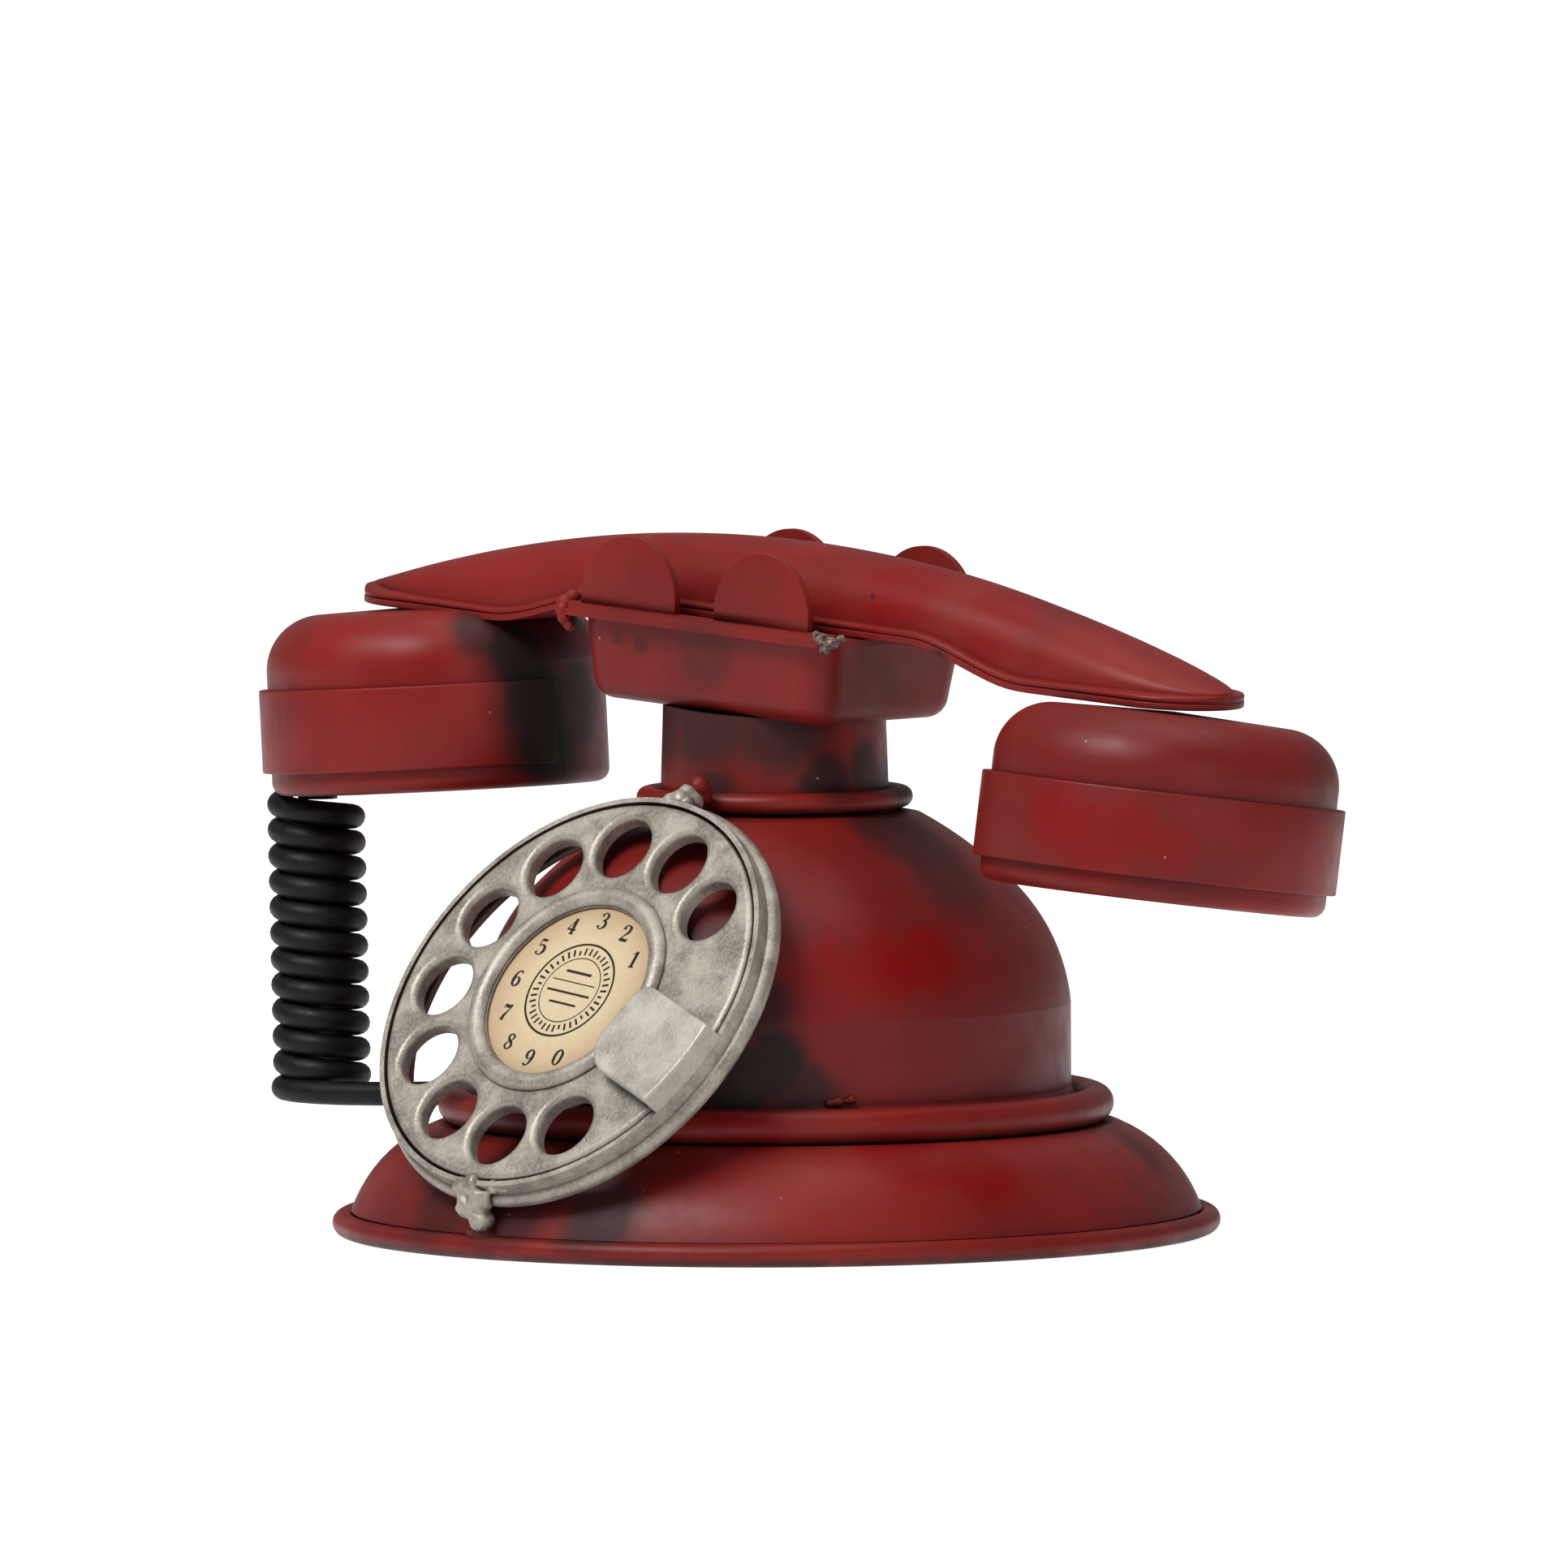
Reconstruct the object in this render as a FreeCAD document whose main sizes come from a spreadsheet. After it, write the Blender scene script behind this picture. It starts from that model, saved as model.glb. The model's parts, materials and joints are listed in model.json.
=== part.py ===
import FreeCAD, Part
import math
import os
import re

import Sketcher
from FreeCAD import Placement, Rotation, Vector

# Rotary desk telephone in pressed sheet steel.
# Frame: +Z up, the dial faces -Y, the handset lies along X.
# Origin: centre of the base, on the surface that it stands on.  Millimetres.

SIZES = {
    # sheet metal and running gaps
    "sheet": 1.2,
    "gap": 0.3,
    # base: rolled rim, flared skirt, bead and bottom plate
    "rim_ring": 77.9,
    "rim_wire": 2.1,
    "skirt_foot": 76.6,
    "skirt_foot_up": 4.2,
    "skirt_top": 60.8,
    "skirt_top_up": 20.0,
    "skirt_curve": 25.5,
    "skirt_flange": 47.8,
    "plate_disc": 75.6,
    "plate_up": 2.2,
    "bead_ring": 57.7,
    "bead_wire": 3.15,
    "bead_up": 23.2,
    "pad_disc": 68.0,
    "screw_disc": 1.5,
    "screw_head": 3.0,
    "screw_ring": 50.3,
    "screw_tall": 22.5,
    # bell-shaped housing, collar and neck
    "bell_foot": 54.45,
    "bell_flange": 47.8,
    "bell_wall": 53.2,
    "bell_wall_up": 26.5,
    "bell_bend_up": 41.4,
    "bell_shoulder": 43.4,
    "bell_shoulder_up": 62.5,
    "bell_curve": 34.9,
    "bell_crown": 26.3,
    "bell_crown_up": 75.5,
    "bell_crown_curve": 72.6,
    "bell_top_up": 76.6,
    "collar_ring": 23.0,
    "collar_wire": 1.87,
    "neck_tube": 20.0,
    "neck_flare": 20.6,
    "neck_foot_up": 72.5,
    "neck_top_up": 94.5,
    # the tray, its ears and the handset lean to the right together
    "lean": 3.8,
    "tray_long": 60.0,
    "tray_wide": 41.0,
    "tray_floor_long": 56.5,
    "tray_floor_wide": 38.0,
    "tray_deep": 13.5,
    "tray_corner": 6.0,
    "tray_round": 4.0,
    "tray_shift": -1.0,
    "flange_long": 64.0,
    "flange_wide": 46.0,
    "flange_corner": 2.5,
    "rail_wide": 3.6,
    "ear_wide": 22.6,
    "ear_shoulder": 2.6,
    "ear_round": 11.35,
    "ear_pitch": 32.0,
    "ear_sheet": 1.4,
    "ear_spread": 41.0,
    "front_ears_shift": -1.5,
    "back_ears_shift": 1.0,
    "button_disc": 4.0,
    "button_tall": 4.0,
    "rod_disc": 2.0,
    "rod_deep": 33.0,
    "guide_disc": 3.5,
    "spring_wire": 0.4,
    "spring_pitch": 1.5833,
    "bracket_disc": 18.6,
    "bracket_up": 67.6,
    "bracket_deep": 7.0,
    # handset
    "handset_shift": 5.0,
    "handle_wide": 25.0,
    "handle_round": 21.0,
    "handle_crown": 14.3,
    "crown_curve": 310.0,
    "belly_flat": 36.0,
    "pad_start": 64.0,
    "pad_drop": 5.8,
    "cup_spacing": 178.4,
    "left_cup_seat": 0.3,
    "right_cup_seat": 1.4,
    "cup_disc": 30.8,
    "cup_dome": 14.0,
    "cup_dome_flat": 21.5,
    "cup_dome_drop": 0.8,
    "cup_shoulder_curve": 10.2,
    "cup_shoulder_deep": 10.5,
    "band_wide": 15.2,
    "band_disc": 32.4,
    "band_open": 72.0,
    "cap_joint": 0.4,
    "cap_deep": 3.8,
    "cap_round": 2.4,
    "capsule_disc": 24.0,
    "cup_lean": 3.4,
    "left_cup_twist": 0.0,
    "right_cup_twist": 6.6,
    # dial, whose face leans back from upright
    "dial_side": 1.6,
    "dial_out": 57.5,
    "dial_up": 46.9,
    "dial_tilt": 34.8,
    "ring_disc": 40.6,
    "ring_inner": 39.6,
    "ring_bulge": 42.2,
    "ring_deep": 6.6,
    "wheel_disc": 39.2,
    "wheel_sheet": 3.0,
    "hole_ring": 30.0,
    "hole_disc": 6.0,
    "hole_round": 1.2,
    "hole_count": 10,
    "hole_step": 28.7,
    "first_hole": 37.0,
    "bezel_disc": 21.1,
    "card_disc": 17.3,
    "bezel_edge": 0.4,
    "bezel_curve": 1.85,
    "card_deep": 0.9,
    "card_sheet": 0.4,
    "stop_up": 1.95,
    "stop_sheet": 2.0,
    "stop_wide": 17.6,
    "stop_inner": 19.0,
    "stop_upper_corner": 3.5,
    "stop_lower_corner": 6.5,
    "stop_edge": 0.5,
    "stop_turn": -23.0,
    "stop_foot": 6.0,
    "case_disc": 16.0,
    "case_flange": 23.2,
    "opening_deep": 8.0,
    "case_front": 3.4,
    "case_sheet": 1.0,
    "case_back": 20.0,
    "shaft_disc": 2.5,
    "fit": 0.05,
    "gear_disc": 8.6,
    "pinion_disc": 2.0,
    "governor_offset": 10.9,
    "governor_shaft": 1.0,
    "governor_drum": 3.6,
    "gear_deep": 5.2,
    "gear_sheet": 1.4,
    "gear_teeth": 48,
    # ringer and circuit parts on the base plate
    "gong_disc": 16.0,
    "gong_spread": 22.0,
    "gong_back": 20.0,
    "gong_up": 30.0,
    "gong_deep": 9.0,
    "ball_disc": 3.0,
    "clapper_up": 32.0,
    "clapper_pivot": -4.0,
    "pole_up": 25.5,
    # cords
    "cord_wide": 4.4,
    "coil_wide": 18.2,
    "coil_left": 101.0,
    "coil_front": 12.0,
    "coil_foot_up": 24.4,
    "coil_top_up": 74.8,
    "gland_disc": 3.1,
    "gland_reach": 67.0,
    "gland_long": 19.0,
    "gland_turn": 190.0,
    "gland_up": 22.5,
    "grommet_neck": 4.0,
    "grommet_up": 32.0,
}

doc = FreeCAD.newDocument("Telephone")
sheet = doc.addObject("Spreadsheet::Sheet", "Sizes")


def fill_sheet():
    """Write every driving dimension to the sheet, with its alias."""
    for row, (alias, number) in enumerate(SIZES.items(), start=1):
        sheet.set("A%d" % row, alias)
        sheet.set("B%d" % row, str(number))
        sheet.setAlias("B%d" % row, alias)
    doc.recompute()


def bound(text):
    """Turn a formula in plain aliases into an expression on the sheet."""
    return re.sub(r"[a-z][a-z_]*\b(?!\()", r"Sizes.\g<0>", str(text))


def value(text):
    """The number that a formula gives now."""
    result = sheet.evalExpression(bound(text))
    return float(getattr(result, "Value", result))


# ---------------------------------------------------------------- sketches

def origin_plane(body, role):
    for feature in body.Origin.OriginFeatures:
        if feature.Role == role:
            return feature
    raise ValueError(role)


def new_sketch(body, role):
    sketch = body.newObject("Sketcher::SketchObject", body.Name + "_sketch")
    sketch.AttachmentSupport = [(origin_plane(body, role), "")]
    sketch.MapMode = "FlatFace"
    return sketch


def rule(*parts):
    return Sketcher.Constraint(*parts)


def pin(sketch, edge, end, kind, formula):
    """Hold one coordinate of an edge's end at a formula."""
    if formula == "0":
        axis = -2 if kind == "DistanceX" else -1
        sketch.addConstraint(rule("PointOnObject", edge, end, axis))
        return
    number = value(formula)
    index = sketch.addConstraint(rule(kind, -1, 1, edge, end, number))
    sketch.setExpression("Constraints[%d]" % index, bound(formula))


def arc_between(start, finish, radius):
    """Arc of a radius from start to finish; a positive one has its centre on the left."""
    chord = finish - start
    half = chord.Length / 2
    reach = math.sqrt(max(radius * radius - half * half, 0))
    left = Vector(-chord.y, chord.x, 0).normalize()
    side = 1 if radius > 0 else -1
    centre = (start + finish) / 2 + left * reach * side
    first, last = (start, finish) if radius > 0 else (finish, start)
    angles = [math.atan2(end.y - centre.y, end.x - centre.x) for end in (first, last)]
    circle = Part.Circle(centre, Vector(0, 0, 1), abs(radius))
    return Part.ArcOfCircle(circle, angles[0], angles[1])


def draw(sketch, corners):
    """Closed outline of (x, y) corners; a third entry is the radius of the arc to that corner."""
    points = [Vector(value(corner[0]), value(corner[1]), 0) for corner in corners]
    count = len(corners)
    starts = []
    finishes = []
    for index in range(count):
        following = (index + 1) % count
        arc_to = corners[following][2] if len(corners[following]) > 2 else None
        if arc_to is None:
            edge = sketch.addGeometry(Part.LineSegment(points[index], points[following]))
            starts.append((edge, 1))
            finishes.append((edge, 2))
            continue
        radius = value(arc_to)
        edge = sketch.addGeometry(arc_between(points[index], points[following], radius))
        starts.append((edge, 1 if radius > 0 else 2))
        finishes.append((edge, 2 if radius > 0 else 1))
    for index in range(count):
        sketch.addConstraint(rule("Coincident", *finishes[index - 1], *starts[index]))
    for index, corner in enumerate(corners):
        pin(sketch, *starts[index], "DistanceX", corner[0])
        pin(sketch, *starts[index], "DistanceY", corner[1])
        following = corners[(index + 1) % count]
        if len(following) > 2:
            number = abs(value(following[2]))
            hold = sketch.addConstraint(rule("Radius", starts[index][0], number))
            sketch.setExpression("Constraints[%d]" % hold, "abs(%s)" % bound(following[2]))


def circle_in(sketch, x_formula, y_formula, radius_formula):
    centre = Vector(value(x_formula), value(y_formula), 0)
    edge = sketch.addGeometry(Part.Circle(centre, Vector(0, 0, 1), value(radius_formula)))
    pin(sketch, edge, 3, "DistanceX", x_formula)
    pin(sketch, edge, 3, "DistanceY", y_formula)
    hold = sketch.addConstraint(rule("Radius", edge, value(radius_formula)))
    sketch.setExpression("Constraints[%d]" % hold, bound(radius_formula))


# ---------------------------------------------------------------- sub-part helpers

NODES = []


def keep(piece, label, place=None):
    """Name a finished sub-part and put it in its place."""
    piece.Label = label
    if place is not None:
        piece.Placement = place
    NODES.append(piece)
    return piece


def new_body(label):
    return doc.addObject("PartDesign::Body", "body_" + label)


def lathe_body(name, corners, sweep=360):
    """Body of revolution about Z of an outline in (radius, height)."""
    body = new_body(name)
    sketch = new_sketch(body, "XZ_Plane")
    draw(sketch, corners)
    turn = body.newObject("PartDesign::Revolution", "turn_" + name)
    turn.Profile = sketch
    turn.ReferenceAxis = (sketch, ["V_Axis"])
    turn.Angle = sweep
    return body


def lathe(label, corners, place=None):
    return keep(lathe_body(label, corners), label, place)


def ring(label, radius, wire, height, place=None):
    """Round ring, such as a rolled wire edge."""
    torus = doc.addObject("Part::Torus", "ring_" + label)
    torus.setExpression("Radius1", bound(radius))
    torus.setExpression("Radius2", bound(wire))
    base = place if place is not None else Placement()
    lift = Placement(Vector(0, 0, value(height)), Rotation())
    return keep(torus, label, base.multiply(lift))


def cylinder(name, radius, height, place=None):
    solid = doc.addObject("Part::Cylinder", name)
    solid.setExpression("Radius", bound(radius))
    solid.setExpression("Height", bound(height))
    if place is not None:
        solid.Placement = place
    return solid


def block(name, length, width, height, centre):
    """Box standing on its centre point."""
    solid = doc.addObject("Part::Box", name)
    solid.setExpression("Length", bound(length))
    solid.setExpression("Width", bound(width))
    solid.setExpression("Height", bound(height))
    corner = centre - Vector(value(length) / 2, value(width) / 2, 0)
    solid.Placement = Placement(corner, Rotation())
    return solid


def cut(name, base, tool):
    result = doc.addObject("Part::Cut", name)
    result.Base = base
    result.Tool = tool
    return result


def fuse(name, solids):
    result = doc.addObject("Part::MultiFuse", name)
    result.Shapes = solids
    return result


def group(name, solids):
    """Separate identical solids that share one node."""
    result = doc.addObject("Part::Compound", name)
    result.Links = solids
    return result


def shaped(label, shape, place=None):
    """Sub-part whose shape is made with Part's own functions."""
    piece = doc.addObject("Part::Feature", "shape_" + label)
    piece.Shape = shape
    return keep(piece, label, place)


def at(x, y, z):
    return Placement(Vector(x, y, z), Rotation())


def around(radius, count, first, height):
    """Places evenly spaced on a circle about Z."""
    for index in range(count):
        angle = math.radians(first + index * 360 / count)
        yield at(radius * math.cos(angle), radius * math.sin(angle), height)


# ---------------------------------------------------------------- frames

fill_sheet()

LEANED = Placement(Vector(0, 0, value("neck_top_up")), Rotation(Vector(0, 1, 0), value("lean")))
DIAL = Placement(Vector(value("dial_side"), -value("dial_out"), value("dial_up")),
                 Rotation(Vector(1, 0, 0), 90 - value("dial_tilt")))
TRAY_TOP = value("sheet + tray_deep + 2 * sheet")
HANDSET = LEANED.multiply(at(value("handset_shift"), 0, TRAY_TOP - value("sheet - gap")))


# ---------------------------------------------------------------- base

BASE_PLATE_TOP = value("plate_up + sheet")
GLAND_DIRECTION = Vector(math.cos(math.radians(value("gland_turn"))),
                         math.sin(math.radians(value("gland_turn"))), 0)


def along(name, radius, height, start, direction):
    """Cylinder that starts at a point and runs along a direction."""
    return cylinder(name, radius, height, Placement(start, Rotation(Vector(0, 0, 1), direction)))


def gland_bore(name):
    start = GLAND_DIRECTION * (value("gland_reach") - 20) + Vector(0, 0, value("gland_up"))
    return along(name, "gland_disc + fit", "20", start, GLAND_DIRECTION)


def screw_bores(name):
    places = around(value("screw_ring"), 3, 90, 0)
    return fuse(name, [cylinder(name + "_bore", "screw_disc + fit", "24", place) for place in places])


def make_base():
    ring("base_rim", "rim_ring", "rim_wire", "rim_wire")
    skirt = lathe_body("skirt", [
        ("skirt_foot - sheet", "skirt_foot_up", "sheet - skirt_curve"),
        ("skirt_foot", "skirt_foot_up"),
        ("skirt_top", "skirt_top_up", "skirt_curve"),
        ("skirt_flange", "skirt_top_up"),
        ("skirt_flange", "skirt_top_up - sheet"),
        ("skirt_top - sheet", "skirt_top_up - sheet"),
    ])
    bores = fuse("skirt_bores", [screw_bores("skirt_screws"), gland_bore("skirt_gland")])
    keep(cut("skirt_cut", skirt, bores), "base_skirt")
    plate = cylinder("plate", "plate_disc", "sheet", at(0, 0, value("plate_up")))
    keep(cut("plate_cut", plate, screw_bores("plate_screws")), "base_plate")
    pad = cylinder("pad", "pad_disc", "plate_up")
    head_bores = [cylinder("pad_bore", "screw_head + gap", "4", place)
                  for place in around(value("screw_ring"), 3, 90, -1)]
    keep(cut("pad_cut", pad, fuse("pad_bores", head_bores)), "base_pad")
    bead = doc.addObject("Part::Torus", "bead")
    bead.setExpression("Radius1", bound("bead_ring"))
    bead.setExpression("Radius2", bound("bead_wire"))
    bead.Placement = at(0, 0, value("bead_up"))
    keep(cut("bead_cut", bead, gland_bore("bead_gland")), "base_bead")


def make_base_screws():
    """Long screws that clamp the plate, the skirt and the bell together."""
    head_tall = "plate_up - 0.6"
    screws = []
    for place in around(value("screw_ring"), 3, 90, 0.6):
        head = cylinder("screw_head", "screw_head", head_tall, place)
        shank = cylinder("screw_shank", "screw_disc", "screw_tall", place)
        screws.append(fuse("base_screw", [head, shank]))
    keep(group("base_screw_set", screws), "base_screws")


def make_bell():
    bell = lathe_body("bell", [
        ("bell_flange", "skirt_top_up"),
        ("bell_foot", "skirt_top_up"),
        ("bell_foot", "bead_up"),
        ("bell_wall", "bell_wall_up"),
        ("bell_wall", "bell_bend_up"),
        ("bell_shoulder", "bell_shoulder_up", "bell_curve"),
        ("bell_crown", "bell_crown_up", "bell_crown_curve"),
        ("neck_flare + fit", "bell_top_up"),
        ("neck_flare + fit", "bell_top_up - sheet"),
        ("bell_crown - 0.6", "bell_crown_up - sheet"),
        ("bell_shoulder - 0.9", "bell_shoulder_up - 0.9", "-bell_crown_curve"),
        ("bell_wall - sheet", "bell_bend_up", "sheet - bell_curve"),
        ("bell_wall - sheet", "skirt_top_up + sheet"),
        ("bell_flange", "skirt_top_up + sheet"),
    ])
    case_bore = cylinder("bell_case_bore", "case_disc + fit", "case_back + 10")
    case_bore.Placement = DIAL.multiply(at(0, 0, -value("case_back + 5")))
    opening = cylinder("bell_dial_opening", "case_flange + gap", "opening_deep + 10")
    opening.Placement = DIAL.multiply(at(0, 0, -value("opening_deep")))
    inlet = along("bell_inlet", "grommet_neck", "20",
                  Vector(0, value("bell_wall") - 10, value("grommet_up")), Vector(0, 1, 0))
    bores = fuse("bell_bores", [screw_bores("bell_screws"), gland_bore("bell_gland"), case_bore,
                               opening, inlet])
    keep(cut("bell_cut", bell, bores), "bell_housing")
    ring("collar_bead", "collar_ring", "collar_wire", "bell_top_up + collar_wire + 0.05")


def make_neck():
    tube = lathe_body("neck", [
        ("neck_flare - sheet", "neck_foot_up"),
        ("neck_flare", "neck_foot_up"),
        ("neck_flare", "bell_top_up + 1"),
        ("neck_tube", "neck_top_up + 2"),
        ("neck_tube - sheet", "neck_top_up + 2"),
        ("neck_flare - sheet", "bell_top_up + 1"),
    ])
    above = block("neck_above", "80", "80", "20", Vector(0, 0, 0))
    above.Placement = LEANED.multiply(above.Placement)
    keep(cut("neck_cut", tube, above), "neck_tube")


def make_inlet_grommet():
    """Rubber grommet in the back of the bell, where the line cord goes in."""
    place = Placement(Vector(0, value("bell_wall") - 1.1, value("grommet_up")),
                      Rotation(Vector(0, 0, 1), Vector(0, 1, 0)))
    lathe("line_grommet", [
        ("2.4", "-2"),
        ("grommet_neck - fit", "-2"),
        ("grommet_neck - fit", "1.3"),
        ("grommet_neck + 1.6", "1.3"),
        ("grommet_neck + 0.8", "3.4"),
        ("2.4", "3.4"),
    ], place)


# ---------------------------------------------------------------- cradle

def rounded_rectangle(length, width, corner, height):
    """Closed wire centred on Z."""
    x = length / 2
    y = width / 2
    wire = Part.makePolygon([Vector(-x, -y, height), Vector(x, -y, height), Vector(x, y, height),
                             Vector(-x, y, height), Vector(-x, -y, height)])
    face = Part.Face(wire)
    prism = face.extrude(Vector(0, 0, 1))
    upright = [edge for edge in prism.Edges if abs(edge.tangentAt(edge.FirstParameter).z) > 0.9]
    rounded = prism.makeFillet(corner, upright)
    lowest = min(rounded.Faces, key=lambda side: side.CenterOfMass.z)
    return lowest.OuterWire


def sheet_rectangle(length, width, corner, height, thickness):
    return Part.Face(rounded_rectangle(length, width, corner, height)).extrude(Vector(0, 0, thickness))


def level_edges(solid, height):
    """Edges that lie at one height."""
    return [edge for edge in solid.Edges
            if all(abs(vertex.Z - height) < 0.001 for vertex in edge.Vertexes)]


def make_tray():
    """Shallow pan with sloping sides and a turned-out flange."""
    thick = value("sheet")
    rise = value("sheet + tray_deep")
    corner = value("tray_corner")
    floor = (value("tray_floor_long"), value("tray_floor_wide"))
    mouth = (value("tray_long"), value("tray_wide"))
    inset = 2 * thick
    outer = Part.makeLoft([rounded_rectangle(*floor, corner, 0),
                           rounded_rectangle(*mouth, corner, rise)], True, True)
    inner = Part.makeLoft([
        rounded_rectangle(floor[0] - inset, floor[1] - inset, corner - thick, thick),
        rounded_rectangle(mouth[0] - inset, mouth[1] - inset, corner - thick, rise + thick + 0.01),
    ], True, True)
    round_out = value("tray_round")
    outer = outer.makeFillet(round_out, level_edges(outer, 0))
    inner = inner.makeFillet(round_out - thick, level_edges(inner, thick))
    flange = sheet_rectangle(value("flange_long"), value("flange_wide"), value("flange_corner"), rise, thick)
    shift = Vector(value("tray_shift"), 0, 0)
    pan = outer.fuse(flange).cut(inner)
    pan.translate(shift)
    bore = Part.makeCylinder(value("guide_disc + fit"), 20, Vector(0, 0, -10))
    shaped("cradle_tray", pan.cut(bore).removeSplitter(), LEANED)
    rail_wide = value("rail_wide")
    rail_place = value("flange_wide / 2") - rail_wide
    top = rise + thick
    frame = sheet_rectangle(value("flange_long"), value("flange_wide"), value("flange_corner"), top, thick)
    middle = Part.makeBox(200, 2 * rail_place, 10, Vector(-100, -rail_place, top - 5))
    rails = frame.cut(middle)
    rails.translate(shift)
    shaped("cradle_rails", rails, LEANED)


def make_ears():
    """Four rounded tabs that keep the handset on the cradle."""
    along_y = value("ear_spread / 2")
    for side, y in (("front", -along_y), ("back", along_y)):
        shift = value(side + "_ears_shift")
        pair = []
        for sign in (-1, 1):
            body = new_body("ear")
            sketch = new_sketch(body, "XZ_Plane")
            draw(sketch, [
                ("-ear_wide / 2", "0"),
                ("ear_wide / 2", "0"),
                ("ear_wide / 2", "ear_shoulder"),
                ("-ear_wide / 2", "ear_shoulder", "ear_round"),
            ])
            pad = body.newObject("PartDesign::Pad", "ear_pad")
            pad.Profile = sketch
            pad.setExpression("Length", bound("ear_sheet"))
            pad.Midplane = True
            body.Placement = LEANED.multiply(at(shift + sign * value("ear_pitch / 2"), y, TRAY_TOP))
            pair.append(body)
        keep(group("ear_pair_" + side, pair), "ears_" + side)


def spring_shape(radius, wire, length, turns):
    """Open coil spring standing on Z, wound from round wire."""
    path = Part.makeHelix(length / turns, length, radius)
    start = Vector(radius, 0, 0)
    profile = Part.Wire(Part.makeCircle(wire, start, Vector(0, 1, length / turns / (2 * math.pi * radius))))
    return Part.Wire(path).makePipeShell([profile], True, True)


def make_plunger():
    button_foot = "2 * sheet + tray_deep - button_tall + gap / 2"
    lathe("cradle_plunger", [
        ("0", "-rod_deep"),
        ("rod_disc", "-rod_deep"),
        ("rod_disc", "-14"),
        ("rod_disc + 2.6", "-14"),
        ("rod_disc + 2.6", "-13"),
        ("rod_disc", "-13"),
        ("rod_disc", button_foot),
        ("button_disc", button_foot),
        ("button_disc", button_foot + " + button_tall"),
        ("0", button_foot + " + button_tall"),
    ], LEANED)
    lathe("plunger_guide", [
        ("rod_disc + fit", "-6"),
        ("guide_disc", "-6"),
        ("guide_disc", "sheet"),
        ("guide_disc + 3", "sheet"),
        ("guide_disc + 3", "2 * sheet"),
        ("guide_disc", "7"),
        ("rod_disc + fit", "7"),
    ], LEANED)
    spring = spring_shape(value("rod_disc + 1.2"), value("spring_wire"), 6 * value("spring_pitch"), 6)
    shaped("plunger_spring", spring, LEANED.multiply(at(0, 0, -24)))


def make_hook_switch():
    """Cup under the neck that the spring stands on, with the contact stack below it."""
    cup = lathe_body("switch_cup", [
        ("0", "bracket_up"),
        ("bracket_disc", "bracket_up"),
        ("bracket_disc", "bracket_up + bracket_deep"),
        ("bracket_disc - sheet", "bracket_up + bracket_deep"),
        ("bracket_disc - sheet", "bracket_up + sheet"),
        ("0", "bracket_up + sheet"),
    ])
    bore = cylinder("switch_rod_bore", "rod_disc + 0.4", "60")
    bore.Placement = LEANED.multiply(at(0, 0, -50))
    keep(cut("switch_cup_cut", cup, bore), "switch_bracket")
    block_place = Vector(14, 0, value("bracket_up") - 14)
    stack = block("stack", "8", "9", "14", block_place)
    leaf_ups = [value("bracket_up") - drop for drop in (8.2, 10.2, 12.2)]
    slots = [block("leaf_slot", "40", "5", "0.5", Vector(8, 0, up)) for up in leaf_ups]
    keep(cut("stack_cut", stack, fuse("leaf_slots", slots)), "hook_switch_stack")
    leaves = [block("leaf", "24", "5", "0.5", Vector(6, 0, up)) for up in leaf_ups]
    keep(group("leaf_set", leaves), "hook_switch_leaves")


# ---------------------------------------------------------------- dial

def make_dial_ring():
    lathe("dial_ring", [
        ("ring_inner - 2.2", "-ring_deep"),
        ("ring_disc", "-ring_deep"),
        ("ring_disc", "-ring_deep + 3.4", "1.75"),
        ("ring_disc", "-0.3"),
        ("ring_inner", "-0.3"),
        ("ring_inner", "-ring_deep + sheet"),
        ("ring_inner - 2.2", "-ring_deep + sheet"),
    ], DIAL)


def lug(name, x, y, depth, size, neighbour):
    """Lump of solder that holds the dial's ring to the sheet metal behind it."""
    ball = doc.addObject("Part::Sphere", name)
    ball.Radius = size
    ball.Placement = DIAL.multiply(at(x, y, -depth))
    ring_disc = cylinder(name + "_ring", "ring_bulge + 0.2", "ring_deep")
    ring_disc.Placement = DIAL.multiply(at(0, 0, -value("ring_deep")))
    return cut(name + "_cut", ball, fuse(name + "_tools", [ring_disc, neighbour]))


def make_lugs():
    """Solder lumps above and below the dial, shaped by what they touch."""
    upper_fill = lathe_body("upper_fill", [
        ("0", "bell_shoulder_up"),
        ("bell_shoulder", "bell_shoulder_up"),
        ("bell_crown", "bell_crown_up", "bell_crown_curve"),
        ("collar_ring + collar_wire", "bell_top_up"),
        ("collar_ring + collar_wire", "bell_top_up + 2 * collar_wire"),
        ("0", "bell_top_up + 2 * collar_wire"),
    ])
    lower_fill = lathe_body("lower_fill", [
        ("0", "skirt_foot_up"),
        ("skirt_foot", "skirt_foot_up"),
        ("skirt_top", "skirt_top_up", "skirt_curve"),
        ("0", "skirt_top_up"),
    ])
    lugs = [lug("upper_lug", 4.6, 42.6, 6.0, 4.2, upper_fill),
            lug("lower_lug", -3.1, -41.6, 8.0, 4.6, lower_fill)]
    keep(group("lug_set", lugs), "dial_lugs")


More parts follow.
